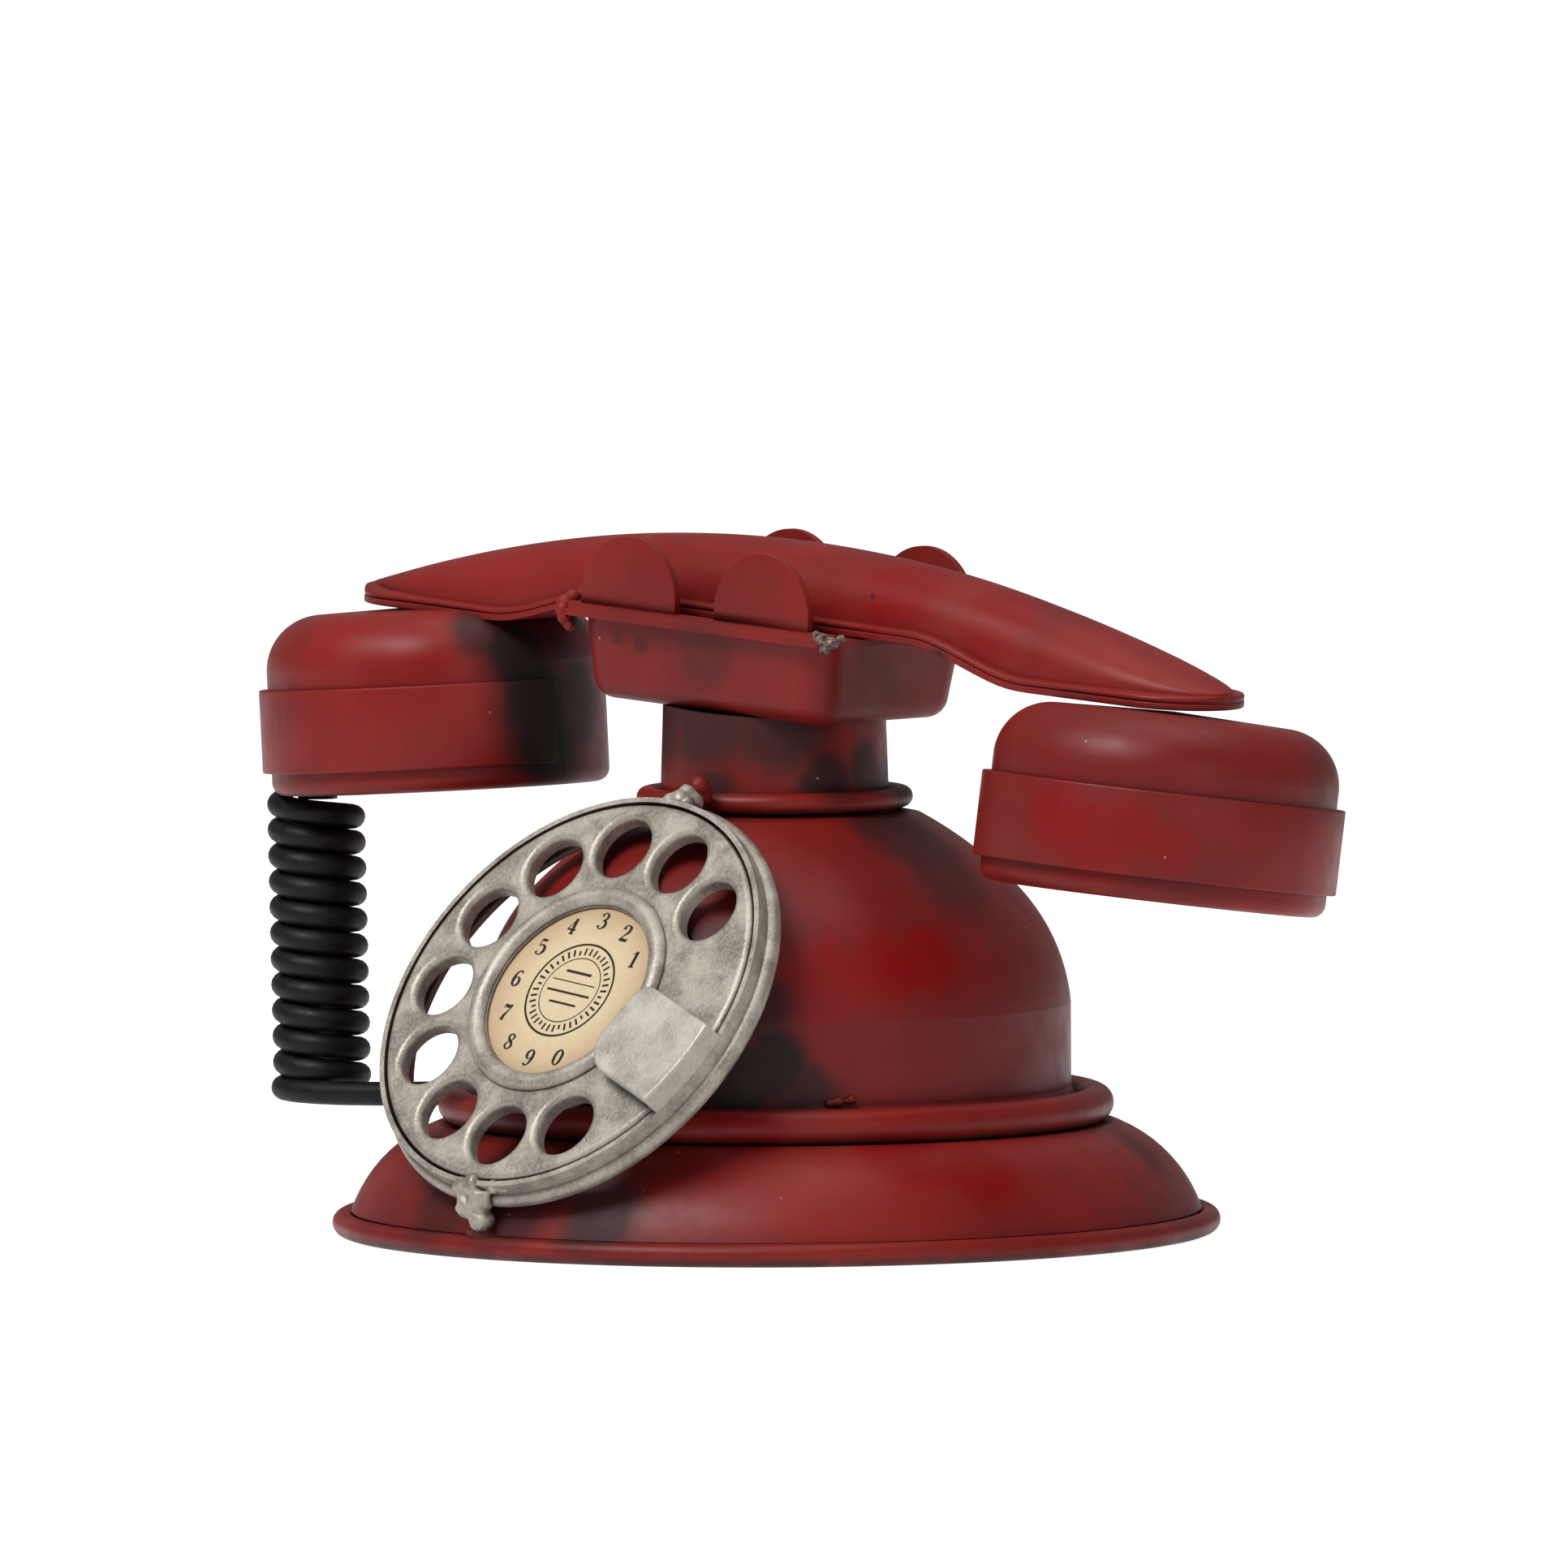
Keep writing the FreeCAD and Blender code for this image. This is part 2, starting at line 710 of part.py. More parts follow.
def make_finger_stop():
    """Stout plate from the ring, over the wheel, to the middle of the dial."""
    up = value("stop_up")
    outer = value("ring_disc")
    turn = Rotation(Vector(0, 0, 1), value("stop_turn"))
    half = value("stop_wide / 2")
    inner = value("stop_inner")
    slab = Part.makeBox(outer, 2 * half, value("stop_sheet"), Vector(inner, -half, up))
    plate = slab
    for corner, y in (("stop_upper_corner", half), ("stop_lower_corner", -half)):
        upright = [edge for edge in plate.Edges
                   if (edge.CenterOfMass - Vector(inner, y, up + value("stop_sheet / 2"))).Length < 0.01]
        plate = plate.makeFillet(value(corner), upright)
    rim = Part.makeCylinder(outer, 10, Vector(0, 0, up - 5))
    plate = plate.common(rim)
    plate = plate.makeFillet(value("stop_edge"), level_edges(plate, up + value("stop_sheet")))
    foot_ring = Part.makeCylinder(outer, up + value("gap"), Vector(0, 0, -value("gap")))
    foot_hole = Part.makeCylinder(value("ring_inner") + 0.1, 10, Vector(0, 0, -5))
    foot_plan = Part.makeBox(10, 2 * half, 10, Vector(outer - value("stop_foot"), -half, -5))
    foot = foot_ring.cut(foot_hole).common(foot_plan)
    shape = plate.fuse(foot).removeSplitter()
    shaped("finger_stop", shape, DIAL.multiply(Placement(Vector(0, 0, 0), turn)))


def is_front_rim(edge):
    """True for the front edge of a finger hole and of the wheel itself."""
    level = abs(edge.CenterOfMass.z) < 0.01 and all(abs(vertex.Z) < 0.01 for vertex in edge.Vertexes)
    return level and abs(edge.Curve.Radius - value("card_disc + fit")) > 0.01


def make_finger_wheel():
    body = new_body("finger_wheel")
    sketch = new_sketch(body, "XY_Plane")
    circle_in(sketch, "0", "0", "wheel_disc")
    circle_in(sketch, "0", "0", "shaft_disc")
    disc = body.newObject("PartDesign::Pad", "wheel_disc_pad")
    disc.Profile = sketch
    disc.setExpression("Length", bound("wheel_sheet"))
    disc.Reversed = True
    doc.recompute()
    seat_sketch = new_sketch(body, "XY_Plane")
    circle_in(seat_sketch, "0", "0", "card_disc + fit")
    seat = body.newObject("PartDesign::Pocket", "card_seat")
    seat.Profile = seat_sketch
    seat.setExpression("Length", bound("card_deep"))
    doc.recompute()
    hole_sketch = new_sketch(body, "XY_Plane")
    circle_in(hole_sketch, "hole_ring", "0", "hole_disc")
    hole = body.newObject("PartDesign::Pocket", "finger_hole")
    hole.Profile = hole_sketch
    hole.Type = "ThroughAll"
    hole.Midplane = True
    doc.recompute()
    holes = body.newObject("PartDesign::PolarPattern", "finger_holes")
    holes.Originals = [hole]
    holes.Axis = (hole_sketch, ["N_Axis"])
    holes.setExpression("Occurrences", bound("hole_count"))
    holes.setExpression("Angle", bound("hole_step * (hole_count - 1)"))
    doc.recompute()
    body.Tip = holes
    rims = [edge for edge in holes.Shape.Edges if is_front_rim(edge)]
    turn = Placement(Vector(0, 0, 0), Rotation(Vector(0, 0, 1), value("first_hole")))
    shaped("finger_wheel", holes.Shape.makeFillet(value("hole_round"), rims), DIAL.multiply(turn))


def make_dial_centre():
    lathe("card_bezel", [
        ("card_disc + gap", "0"),
        ("bezel_disc", "0"),
        ("bezel_disc", "bezel_edge"),
        ("card_disc + gap", "bezel_edge", "bezel_curve"),
    ], DIAL)
    card = cylinder("card", "card_disc", "card_sheet")
    keep(card, "number_card", DIAL.multiply(at(0, 0, -value("card_deep"))))
    shaft = cylinder("shaft", "shaft_disc", "case_back + 1 - card_deep")
    keep(shaft, "dial_shaft", DIAL.multiply(at(0, 0, -value("case_back + 1"))))


def gear_shape(radius, bore, thickness, teeth):
    """Spur gear outline with plain sloping teeth."""
    root = radius - 0.6
    points = []
    for index in range(teeth):
        for reach, share in ((root, 0.0), (root, 0.3), (radius, 0.45), (radius, 0.8)):
            angle = 2 * math.pi * (index + share) / teeth
            points.append(Vector(reach * math.cos(angle), reach * math.sin(angle), 0))
    blank = Part.Face(Part.makePolygon(points + points[:1])).extrude(Vector(0, 0, thickness))
    return blank.cut(Part.makeCylinder(bore, thickness))


def make_dial_works():
    front = -value("case_front")
    back = -value("case_back")
    lathe("dial_case", [
        ("shaft_disc + fit", front - value("case_sheet")),
        ("case_disc - case_sheet", front - value("case_sheet")),
        ("case_disc - case_sheet", back),
        ("case_disc", back),
        ("case_disc", front - value("case_sheet")),
        ("case_flange", front - value("case_sheet")),
        ("case_flange", front),
        ("shaft_disc + fit", front),
    ], DIAL)
    plate = cylinder("works_plate", "case_disc - case_sheet - fit", "case_sheet")
    plate.Placement = at(0, 0, back)
    bores = [cylinder("works_bore", "shaft_disc + fit", "4", at(0, 0, back - 1)),
             cylinder("governor_bore", "governor_shaft + fit", "4",
                      at(0, value("governor_offset"), back - 1))]
    keep(cut("works_plate_cut", plate, fuse("works_bores", bores)), "dial_back_plate", DIAL)
    gear = gear_shape(value("gear_disc"), value("shaft_disc"), value("gear_sheet"), int(value("gear_teeth")))
    shaped("dial_gear", gear, DIAL.multiply(at(0, 0, front - value("gear_deep"))))
    spring = spring_shape(value("shaft_disc + 0.7"), value("spring_wire"), 5 * value("spring_pitch"), 5)
    shaped("return_spring", spring, DIAL.multiply(at(0, 0, back + 2.0)))
    governor_place = DIAL.multiply(at(0, value("governor_offset"), 0))
    lathe("governor", [
        ("0", back),
        ("governor_shaft", back),
        ("governor_shaft", back + 2.5),
        ("governor_drum", back + 2.5),
        ("governor_drum", back + 5.5),
        ("governor_shaft", back + 5.5),
        ("governor_shaft", front - 5.6),
        ("pinion_disc", front - 5.6),
        ("pinion_disc", front - 3.4),
        ("governor_shaft", front - 3.4),
        ("governor_shaft", front - 1.4),
        ("0", front - 1.4),
    ], governor_place)
    make_pulse_contacts(back)


def make_pulse_contacts(back):
    place = DIAL.multiply(at(0, -11.5, back + 1.2))
    insulator = block("pulse_insulator", "7", "4", "7", Vector(0, 0, 0))
    leaves = [block("pulse_leaf", "3", "0.4", "11", Vector(0, shift, 1.0)) for shift in (-1.0, 0.8)]
    keep(cut("pulse_insulator_cut", insulator, fuse("pulse_slots", leaves)), "pulse_block", place)
    keep(group("pulse_leaf_set", leaves), "pulse_leaves", place)


# ---------------------------------------------------------------- ringer and circuit

def make_gongs():
    post_tall = value("gong_up + gong_deep - 1.15") - BASE_PLATE_TOP
    posts = []
    screws = []
    for side, sign in (("left", -1), ("right", 1)):
        x = sign * value("gong_spread")
        place = at(x, value("gong_back"), value("gong_up"))
        lathe("gong_" + side, [
            ("1.6", "gong_deep"),
            ("1.6", "gong_deep - 1"),
            ("gong_disc * 0.6", "gong_deep - 2"),
            ("gong_disc - 1.2", "0", "-gong_disc"),
            ("gong_disc", "0"),
            ("gong_disc * 0.6", "gong_deep - 0.8", "gong_disc"),
        ], place)
        posts.append(cylinder("gong_post", "2.6", post_tall, at(x, value("gong_back"), BASE_PLATE_TOP)))
        top = value("gong_up + gong_deep")
        head = cylinder("gong_screw_head", "3.4", "1.6", at(x, value("gong_back"), top))
        stem = cylinder("gong_screw_stem", "1.5", "1.1", at(x, value("gong_back"), top - 1.0))
        screws.append(fuse("gong_screw", [head, stem]))
    keep(group("gong_post_set", posts), "gong_posts")
    keep(group("gong_screw_set", screws), "gong_screws")


def make_ringer():
    pivot = value("clapper_pivot")
    pole = value("pole_up")
    yoke = block("yoke", "34", "12", "2", Vector(0, pivot, BASE_PLATE_TOP))
    stem = cylinder("yoke_stem", "2.2", pole - BASE_PLATE_TOP - 1.5, at(0, pivot, BASE_PLATE_TOP + 1.5))
    pin_tall = value("clapper_up + 3") - pole
    pivot_pin = cylinder("yoke_pin", "1.0", pin_tall, at(0, pivot, pole))
    cores = [cylinder("core", "2.0", pole - BASE_PLATE_TOP - 2, at(x, pivot, BASE_PLATE_TOP + 2))
             for x in (-11, 11)]
    keep(fuse("yoke_set", [yoke, stem, pivot_pin] + cores), "ringer_yoke")
    windings = []
    for x in (-11, 11):
        winding = cylinder("winding", "6.4", pole - BASE_PLATE_TOP - 4, at(x, pivot, BASE_PLATE_TOP + 2.5))
        hollow = cylinder("winding_bore", "2.0 + fit", "40", at(x, pivot, 0))
        windings.append(cut("winding_cut", winding, hollow))
    keep(group("winding_set", windings), "ringer_coils")
    make_clapper(pivot, pole)


def make_clapper(pivot, pole):
    """Armature over the coils, with the rod and ball that swing between the gongs."""
    arm_up = pole + 0.7
    bar = block("armature", "28", "5", "2", Vector(0, pivot, arm_up))
    hub = cylinder("clapper_hub", "2.2", value("clapper_up") + 1.5 - arm_up, at(0, pivot, arm_up))
    reach = value("gong_back") - pivot
    rod = along("clapper_rod", "0.8", reach, Vector(0, pivot, value("clapper_up")), Vector(0, 1, 0))
    ball = doc.addObject("Part::Sphere", "clapper_ball")
    ball.setExpression("Radius", bound("ball_disc"))
    ball.Placement = at(0, value("gong_back"), value("clapper_up"))
    bore = cylinder("clapper_bore", "1.0 + fit", "40", at(0, pivot, 10))
    keep(cut("clapper_cut", fuse("clapper_set", [bar, hub, rod, ball]), bore), "clapper")


def make_circuit():
    up = BASE_PLATE_TOP
    keep(block("condenser", "12", "22", "20", Vector(-33, -6, up)), "capacitor")
    core = block("coil_core", "18", "5", "5", Vector(31, -8, up + 6))
    cheeks = [block("coil_cheek", "1.5", "14", "17", Vector(x, -8, up)) for x in (22.75, 39.25)]
    keep(fuse("coil_frame", [core] + cheeks), "induction_coil_frame")
    winding = block("coil_winding", "14.5", "12", "13", Vector(31, -8, up + 2))
    space = block("coil_space", "20", "5", "5", Vector(31, -8, up + 6))
    keep(cut("coil_winding_cut", winding, space), "induction_coil_winding")
    terminals = block("terminals", "30", "9", "6", Vector(0, 41, up))
    keep(terminals, "terminal_block")
    screws = [cylinder("terminal_screw", "2.2", "1.4", at(x, 41, up + 6)) for x in (-10.5, -3.5, 3.5, 10.5)]
    keep(group("terminal_screw_set", screws), "terminal_screws")


# ---------------------------------------------------------------- handset

def belly(x):
    """Height of the handle's underside at x: flat on the cradle, then down to two flat pads."""
    share = (abs(x) - value("belly_flat")) / value("pad_start - belly_flat")
    share = min(max(share, 0), 1)
    return -value("pad_drop") * share * share * (3 - 2 * share)


def crown(x):
    curve = value("crown_curve")
    return value("handle_crown") - (curve - math.sqrt(curve * curve - x * x))


def handle_side(lift, top):
    """Side view of the handle from its underside, raised by lift, to a level top."""
    reach = value("pad_start") * 2
    stations = [reach * step / 32 for step in range(-32, 33)]
    curve = Part.BSplineCurve()
    curve.interpolate([Vector(x, 0, belly(x) + lift) for x in stations])
    low = curve.StartPoint.z
    lid = Part.makePolygon([Vector(reach, 0, low), Vector(reach, 0, top),
                            Vector(-reach, 0, top), Vector(-reach, 0, low)])
    wide = value("handle_wide")
    slab = Part.Face(Part.Wire([curve.toShape()] + lid.Edges)).extrude(Vector(0, 2 * wide, 0))
    slab.translate(Vector(0, -wide, 0))
    return slab


def handle_plan(margin):
    """Upright prism with the handle's plan: straight sides and round ends."""
    half = value("cup_spacing / 2")
    radius = value("handle_wide / 2") - margin
    low = -30
    tall = 60
    bar = Part.makeBox(2 * half, 2 * radius, tall, Vector(-half, -radius, low))
    ends = [Part.makeCylinder(radius, tall, Vector(x, 0, low)) for x in (-half, half)]
    return bar.fuse(ends).removeSplitter()


def handle_section(x, half_flange, half_round, floor_up, flange_up, crown_up):
    corners = [Vector(x, half_round, flange_up), Vector(x, half_flange, flange_up),
               Vector(x, half_flange, floor_up), Vector(x, -half_flange, floor_up),
               Vector(x, -half_flange, flange_up), Vector(x, -half_round, flange_up)]
    arch = Part.Arc(corners[5], Vector(x, 0, crown_up), corners[0]).toShape()
    return Part.Wire(Part.makePolygon(corners).Edges + [arch])


def make_handle():
    """Half-round pressing with side flanges, closed below by a plate with two round pads."""
    thick = value("sheet")
    plate = handle_side(0, 60).cut(handle_side(thick, 70)).common(handle_plan(0))
    shaped("handle_plate", plate, HANDSET)
    half_flange = value("handle_wide / 2") + 2
    half_round = value("handle_round / 2")
    reach = value("cup_spacing / 2 + handle_wide / 2") + 1
    outer = Part.makeLoft([
        handle_section(x, half_flange, half_round, belly(x) - 3, belly(x) + 2 * thick,
                       max(crown(x), belly(x) + 2 * thick + 0.3))
        for x in [reach * step / 10 for step in range(-10, 11)]
    ], True)
    hollow_reach = reach * 0.72
    inner = Part.makeLoft([
        handle_section(x, half_round - 2 * thick, half_round - 2.2 * thick, belly(x) - 3,
                       belly(x) + thick + 0.2, crown(x) - thick)
        for x in [hollow_reach * step / 8 for step in range(-8, 9)]
    ], True)
    shell = outer.cut(inner).common(handle_side(thick, 60)).common(handle_plan(0))
    shaped("handle_shell", shell.removeSplitter(), HANDSET)


def cup_place(side):
    """Frame at the top of a cup's dome: both cups splay outward and the right one tips back."""
    name = "left" if side < 0 else "right"
    top = Vector(side * value("cup_spacing / 2"), 0, -value("pad_drop + %s_cup_seat" % name))
    splay = math.tan(math.radians(value("cup_lean")))
    twist = math.tan(math.radians(value(name + "_cup_twist")))
    axis = Vector(side * splay, twist, 1)
    return Placement(HANDSET.multVec(top), Rotation(Vector(0, 0, 1), axis))


def make_cup(name, side):
    place = cup_place(side)
    above_pad = doc.addObject("Part::Feature", name + "_above_pad")
    space = Part.makeBox(400, 100, 60, Vector(-200, -50, -value("pad_drop + fit")))
    above_pad.Shape = handle_plan(0).common(space)
    above_pad.Placement = HANDSET
    dome = lathe_body(name + "_dome", [
        ("0", "-sheet"),
        ("cup_dome_flat - 0.3", "-cup_dome_drop - sheet"),
        ("cup_disc - sheet", "-cup_shoulder_deep", "sheet - cup_shoulder_curve"),
        ("cup_disc - sheet", "-cup_dome - band_wide - cap_joint"),
        ("cup_disc", "-cup_dome - band_wide - cap_joint"),
        ("cup_disc", "-cup_shoulder_deep"),
        ("cup_dome_flat", "-cup_dome_drop", "cup_shoulder_curve"),
        ("0", "0"),
    ])
    dome.Placement = place
    keep(cut("cut_" + name, dome, above_pad), name + "_cup")
    band = lathe_body(name + "_band_body", [
        ("cup_disc + fit", "-cup_dome - band_wide"),
        ("band_disc", "-cup_dome - band_wide"),
        ("band_disc", "-cup_dome"),
        ("cup_disc + fit", "-cup_dome"),
    ], 360 - value("band_open"))
    middle_of_gap = 30 if side < 0 else 150
    turned = Placement(Vector(0, 0, 0), Rotation(Vector(0, 0, 1), middle_of_gap + value("band_open / 2")))
    keep(band, name + "_band", place.multiply(turned))
    cap = lathe_body(name + "_cap_body", [
        ("0", "-cup_dome - band_wide - cap_joint - cap_deep"),
        ("cup_disc - cap_round", "-cup_dome - band_wide - cap_joint - cap_deep"),
        ("cup_disc", "-cup_dome - band_wide - cap_joint - cap_deep + cap_round", "cap_round"),
        ("cup_disc", "-cup_dome - band_wide - cap_joint"),
        ("cup_disc - sheet - fit", "-cup_dome - band_wide - cap_joint"),
        ("cup_disc - sheet - fit", "-cup_dome - band_wide + 3"),
        ("cup_disc - 2.5 * sheet", "-cup_dome - band_wide + 3"),
        ("cup_disc - 2.5 * sheet", "-cup_dome - band_wide - cap_joint - cap_deep + 2 * sheet"),
        ("0", "-cup_dome - band_wide - cap_joint - cap_deep + 2 * sheet"),
    ])
    cap.Placement = place
    sound_holes = [cylinder(name + "_sound_hole", "1.6", "12", at(0, 0, -40))]
    sound_holes += [cylinder(name + "_sound_hole", "1.6", "12", spot) for spot in around(7, 6, 0, -40)]
    holes = fuse(name + "_sound_holes", sound_holes)
    holes.Placement = place
    keep(cut("cut_%s_cap" % name, cap, holes), name + "_cap")
    capsule = cylinder(name + "_capsule_disc", "capsule_disc", "8")
    keep(capsule, name + "_capsule", place.multiply(at(0, 0, -value("cup_dome + band_wide - 1.2"))))


# ---------------------------------------------------------------- cords

def coil_centre(up):
    return Vector(-value("coil_left"), -value("coil_front"), up)


def make_gland():
    start = GLAND_DIRECTION * value("gland_reach - gland_long") + Vector(0, 0, value("gland_up"))
    keep(along("gland", "gland_disc", "gland_long", start, GLAND_DIRECTION), "cord_gland")


def make_cord_relief():
    """Short boss under the mouthpiece cup, where the cord comes out."""
    boss = along("boss", "3.6", "12", coil_centre(value("coil_top_up")), Vector(0, 0, 1))
    cup_fill = cylinder("cup_fill", "cup_disc", "cup_dome + cap_deep + 10")
    deep = value("cup_dome + band_wide + cap_joint + cap_deep")
    cup_fill.Placement = cup_place(-1).multiply(at(0, 0, -deep))
    keep(cut("boss_cut", boss, cup_fill), "cord_relief")


def cord_path(points):
    """Straight runs joined by tangent arcs as large as their runs allow."""
    edges = []
    begin = points[0]
    for before, corner, after in zip(points, points[1:], points[2:]):
        into = corner - before
        out = after - corner
        shorter = min(into.Length, out.Length)
        turn = into.getAngle(out)
        radius = 0.45 * shorter / math.tan(turn / 2)
        trim = 0.45 * shorter
        into.normalize()
        out.normalize()
        arc_start = corner - into * trim
        arc_end = corner + out * trim
        middle = (out - into).normalize()
        inside = radius / math.cos(turn / 2) - radius
        print("cord radius %.1f" % radius)
        edges.append(Part.LineSegment(begin, arc_start).toShape())
        edges.append(Part.Arc(arc_start, corner + middle * inside, arc_end).toShape())
        begin = arc_end
    edges.append(Part.LineSegment(begin, points[-1]).toShape())
    return Part.Wire(edges)


def make_cords():
    """Curly cord as one fat tube, and the straight run from it to the gland."""
    tall = "coil_top_up - coil_foot_up"
    keep(along("coil", "coil_wide / 2", tall, coil_centre(value("coil_foot_up")), Vector(0, 0, 1)),
         "cord_coil")
    exit_point = GLAND_DIRECTION * value("gland_reach") + Vector(0, 0, value("gland_up"))
    route = [exit_point, Vector(-78.5, -13.3, 21.9), Vector(-92.5, -14.3, 21.6), Vector(-107.5, -13.4, 22.0)]
    path = cord_path(route)
    radius = value("cord_wide / 2")
    profile = Part.Wire(Part.makeCircle(radius, route[0], route[1] - route[0]))
    tube = path.makePipeShell([profile], True, False)
    print("cord volume %.1f, section times length %.1f"
          % (tube.Volume, math.pi * radius * radius * path.Length))
    shaped("cord_run", tube)


# ---------------------------------------------------------------- build and write

def check_document():
    for item in doc.Objects:
        if "Invalid" in item.State or "Error" in item.State:
            raise ValueError("%s is %s" % (item.Label, item.State))
    for piece in NODES:
        shape = piece.Shape
        if shape.isNull() or not shape.isValid() or shape.Volume <= 0:
            raise ValueError("bad shape: " + piece.Label)


def write_parts():
    os.makedirs("parts", exist_ok=True)
    for piece in NODES:
        piece.Shape.exportStep("parts/%s.step" % piece.Label)


make_base()
make_base_screws()
make_bell()
make_neck()
make_inlet_grommet()
make_tray()
make_ears()
make_plunger()
make_hook_switch()
make_dial_ring()
make_lugs()
make_finger_stop()
make_finger_wheel()
make_dial_centre()
make_dial_works()
make_gongs()
make_ringer()
make_circuit()
make_handle()
make_cup("right", 1)
make_cup("left", -1)
make_gland()
make_cord_relief()
make_cords()
doc.recompute()
check_document()
write_parts()
print(len(NODES), "sub-parts written")
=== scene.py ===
import json
import math

import bmesh
import bpy
from mathutils import Matrix, Vector, noise


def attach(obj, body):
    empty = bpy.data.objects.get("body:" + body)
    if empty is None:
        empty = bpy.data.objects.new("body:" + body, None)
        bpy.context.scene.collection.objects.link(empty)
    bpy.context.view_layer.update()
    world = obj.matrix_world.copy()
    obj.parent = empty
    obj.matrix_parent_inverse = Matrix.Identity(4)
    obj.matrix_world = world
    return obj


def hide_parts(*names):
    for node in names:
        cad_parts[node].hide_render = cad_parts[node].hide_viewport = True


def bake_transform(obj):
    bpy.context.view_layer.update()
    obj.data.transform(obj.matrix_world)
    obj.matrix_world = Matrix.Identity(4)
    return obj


# Rotary desk telephone in worn red enamel.
# Frame: +Z up, the dial faces -Y, the handset lies along X, metres.

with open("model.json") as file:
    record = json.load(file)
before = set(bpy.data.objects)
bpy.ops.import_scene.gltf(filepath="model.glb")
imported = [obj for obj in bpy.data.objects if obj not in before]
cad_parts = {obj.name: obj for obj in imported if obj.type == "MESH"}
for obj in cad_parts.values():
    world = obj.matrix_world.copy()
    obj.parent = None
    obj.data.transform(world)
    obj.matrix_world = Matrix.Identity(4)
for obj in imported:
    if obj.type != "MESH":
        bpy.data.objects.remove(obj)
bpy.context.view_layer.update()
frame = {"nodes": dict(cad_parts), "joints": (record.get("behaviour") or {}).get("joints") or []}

MM = 0.001
NODES = frame["nodes"]
JOINTS = {joint["name"]: joint for joint in frame["joints"]}


def mm(x, y, z):
    """Point given in millimetres."""
    return Vector((x, y, z)) * MM


# Places that several pieces share, as in the CAD model.
LEAN = math.radians(3.8)
LEANED = Matrix.Translation(mm(0, 0, 94.5)) @ Matrix.Rotation(LEAN, 4, "Y")
HANDSET = LEANED @ Matrix.Translation(mm(5, 0, 16.2))
DIAL_TILT = math.radians(55.2)
DIAL = Matrix.Translation(JOINTS["dial_turn"]["pos_m"]) @ Matrix.Rotation(DIAL_TILT, 4, "X")


# ---------------------------------------------------------------- camera, light and floor

CAMERA_PLACE = (2.6548, -2.9796, 0.3312)
CAMERA_AIM = (0.0003, 0.0022, 0.0806)
CAMERA_ROLL = -0.0043
CAMERA_LENS = 510.3
CAMERA_SENSOR = 36

WORLD_STRENGTH = 0.28
FLOOR_HALF = 30.0
FLOOR_GREY = 0.3
FLOOR_GLOW = 0.92


def make_camera():
    camera = bpy.data.objects.new("camera", bpy.data.cameras.new("camera"))
    bpy.context.scene.collection.objects.link(camera)
    bpy.context.scene.camera = camera
    camera.data.lens = CAMERA_LENS
    camera.data.sensor_width = CAMERA_SENSOR
    camera.data.clip_start = 0.1
    camera.data.clip_end = 60
    camera.location = CAMERA_PLACE
    roll = Matrix.Rotation(CAMERA_ROLL, 3, "Z")
    turn = (Vector(CAMERA_AIM) - camera.location).to_track_quat("-Z", "Y").to_matrix() @ roll
    camera.rotation_euler = turn.to_euler()


def make_light(name, place, aim, size, power):
    light = bpy.data.lights.new(name, "AREA")
    light.shape = "RECTANGLE"
    light.size, light.size_y = size
    light.energy = power
    lamp = bpy.data.objects.new(name, light)
    bpy.context.scene.collection.objects.link(lamp)
    lamp.location = place
    direction = Vector(aim) - Vector(place)
    lamp.rotation_euler = direction.to_track_quat("-Z", "Y").to_euler()


def make_studio():
    world = bpy.data.worlds.new("studio")
    bpy.context.scene.world = world
    world.use_nodes = True
    background = world.node_tree.nodes["Background"]
    background.inputs["Color"].default_value = (1, 1, 1, 1)
    background.inputs["Strength"].default_value = WORLD_STRENGTH
    make_light("key", (-0.05, -1.1, 1.4), (0, 0, 0.07), (0.95, 0.65), 33)
    make_light("top", (0.1, 0.2, 1.5), (0, 0, 0.05), (1.2, 1.0), 8)
    make_light("side", (1.7, -0.7, 0.6), (0, 0, 0.07), (0.9, 0.6), 3.5)
    bpy.context.scene.view_settings.view_transform = "Standard"


def make_floor():
    """Pale floor that glows a little, so that it stays evenly pale as far as it is seen."""
    mesh = bpy.data.meshes.new("floor")
    corners = [(x * FLOOR_HALF, y * FLOOR_HALF, 0) for x, y in ((-1, -1), (1, -1), (1, 1), (-1, 1))]
    mesh.from_pydata(corners, [], [(0, 1, 2, 3)])
    floor = bpy.data.objects.new("floor", mesh)
    bpy.context.scene.collection.objects.link(floor)
    material, tree = new_material("pale_floor")
    paint = add(tree, "BsdfPrincipled", Base_Color=(FLOOR_GREY, FLOOR_GREY, FLOOR_GREY, 1),
                Roughness=0.9, Emission_Color=(1, 1, 1, 1), Emission_Strength=FLOOR_GLOW)
    surface(tree, paint)
    mesh.materials.append(material)


# ---------------------------------------------------------------- material helpers

def new_material(name):
    """Empty node material, given back with its node tree."""
    material = bpy.data.materials.new(name)
    material.use_nodes = True
    material.node_tree.nodes.clear()
    return material, material.node_tree


def add(tree, kind, settings=None, **inputs):
    """New shader node.

    An input is named as in Blender with _ for a space, or _ and its number, and is a value or
    another node's socket.
    """
    made = tree.nodes.new("ShaderNode" + kind)
    for name, value in (settings or {}).items():
        setattr(made, name, value)
    for name, value in inputs.items():
        socket = made.inputs[int(name[1:])] if name[1:].isdigit() else made.inputs[name.replace("_", " ")]
        if isinstance(value, bpy.types.NodeSocket):
            tree.links.new(value, socket)
        else:
            socket.default_value = value
    return made


def surface(tree, shader):
    output = tree.nodes.new("ShaderNodeOutputMaterial")
    tree.links.new(shader.outputs[0], output.inputs["Surface"])


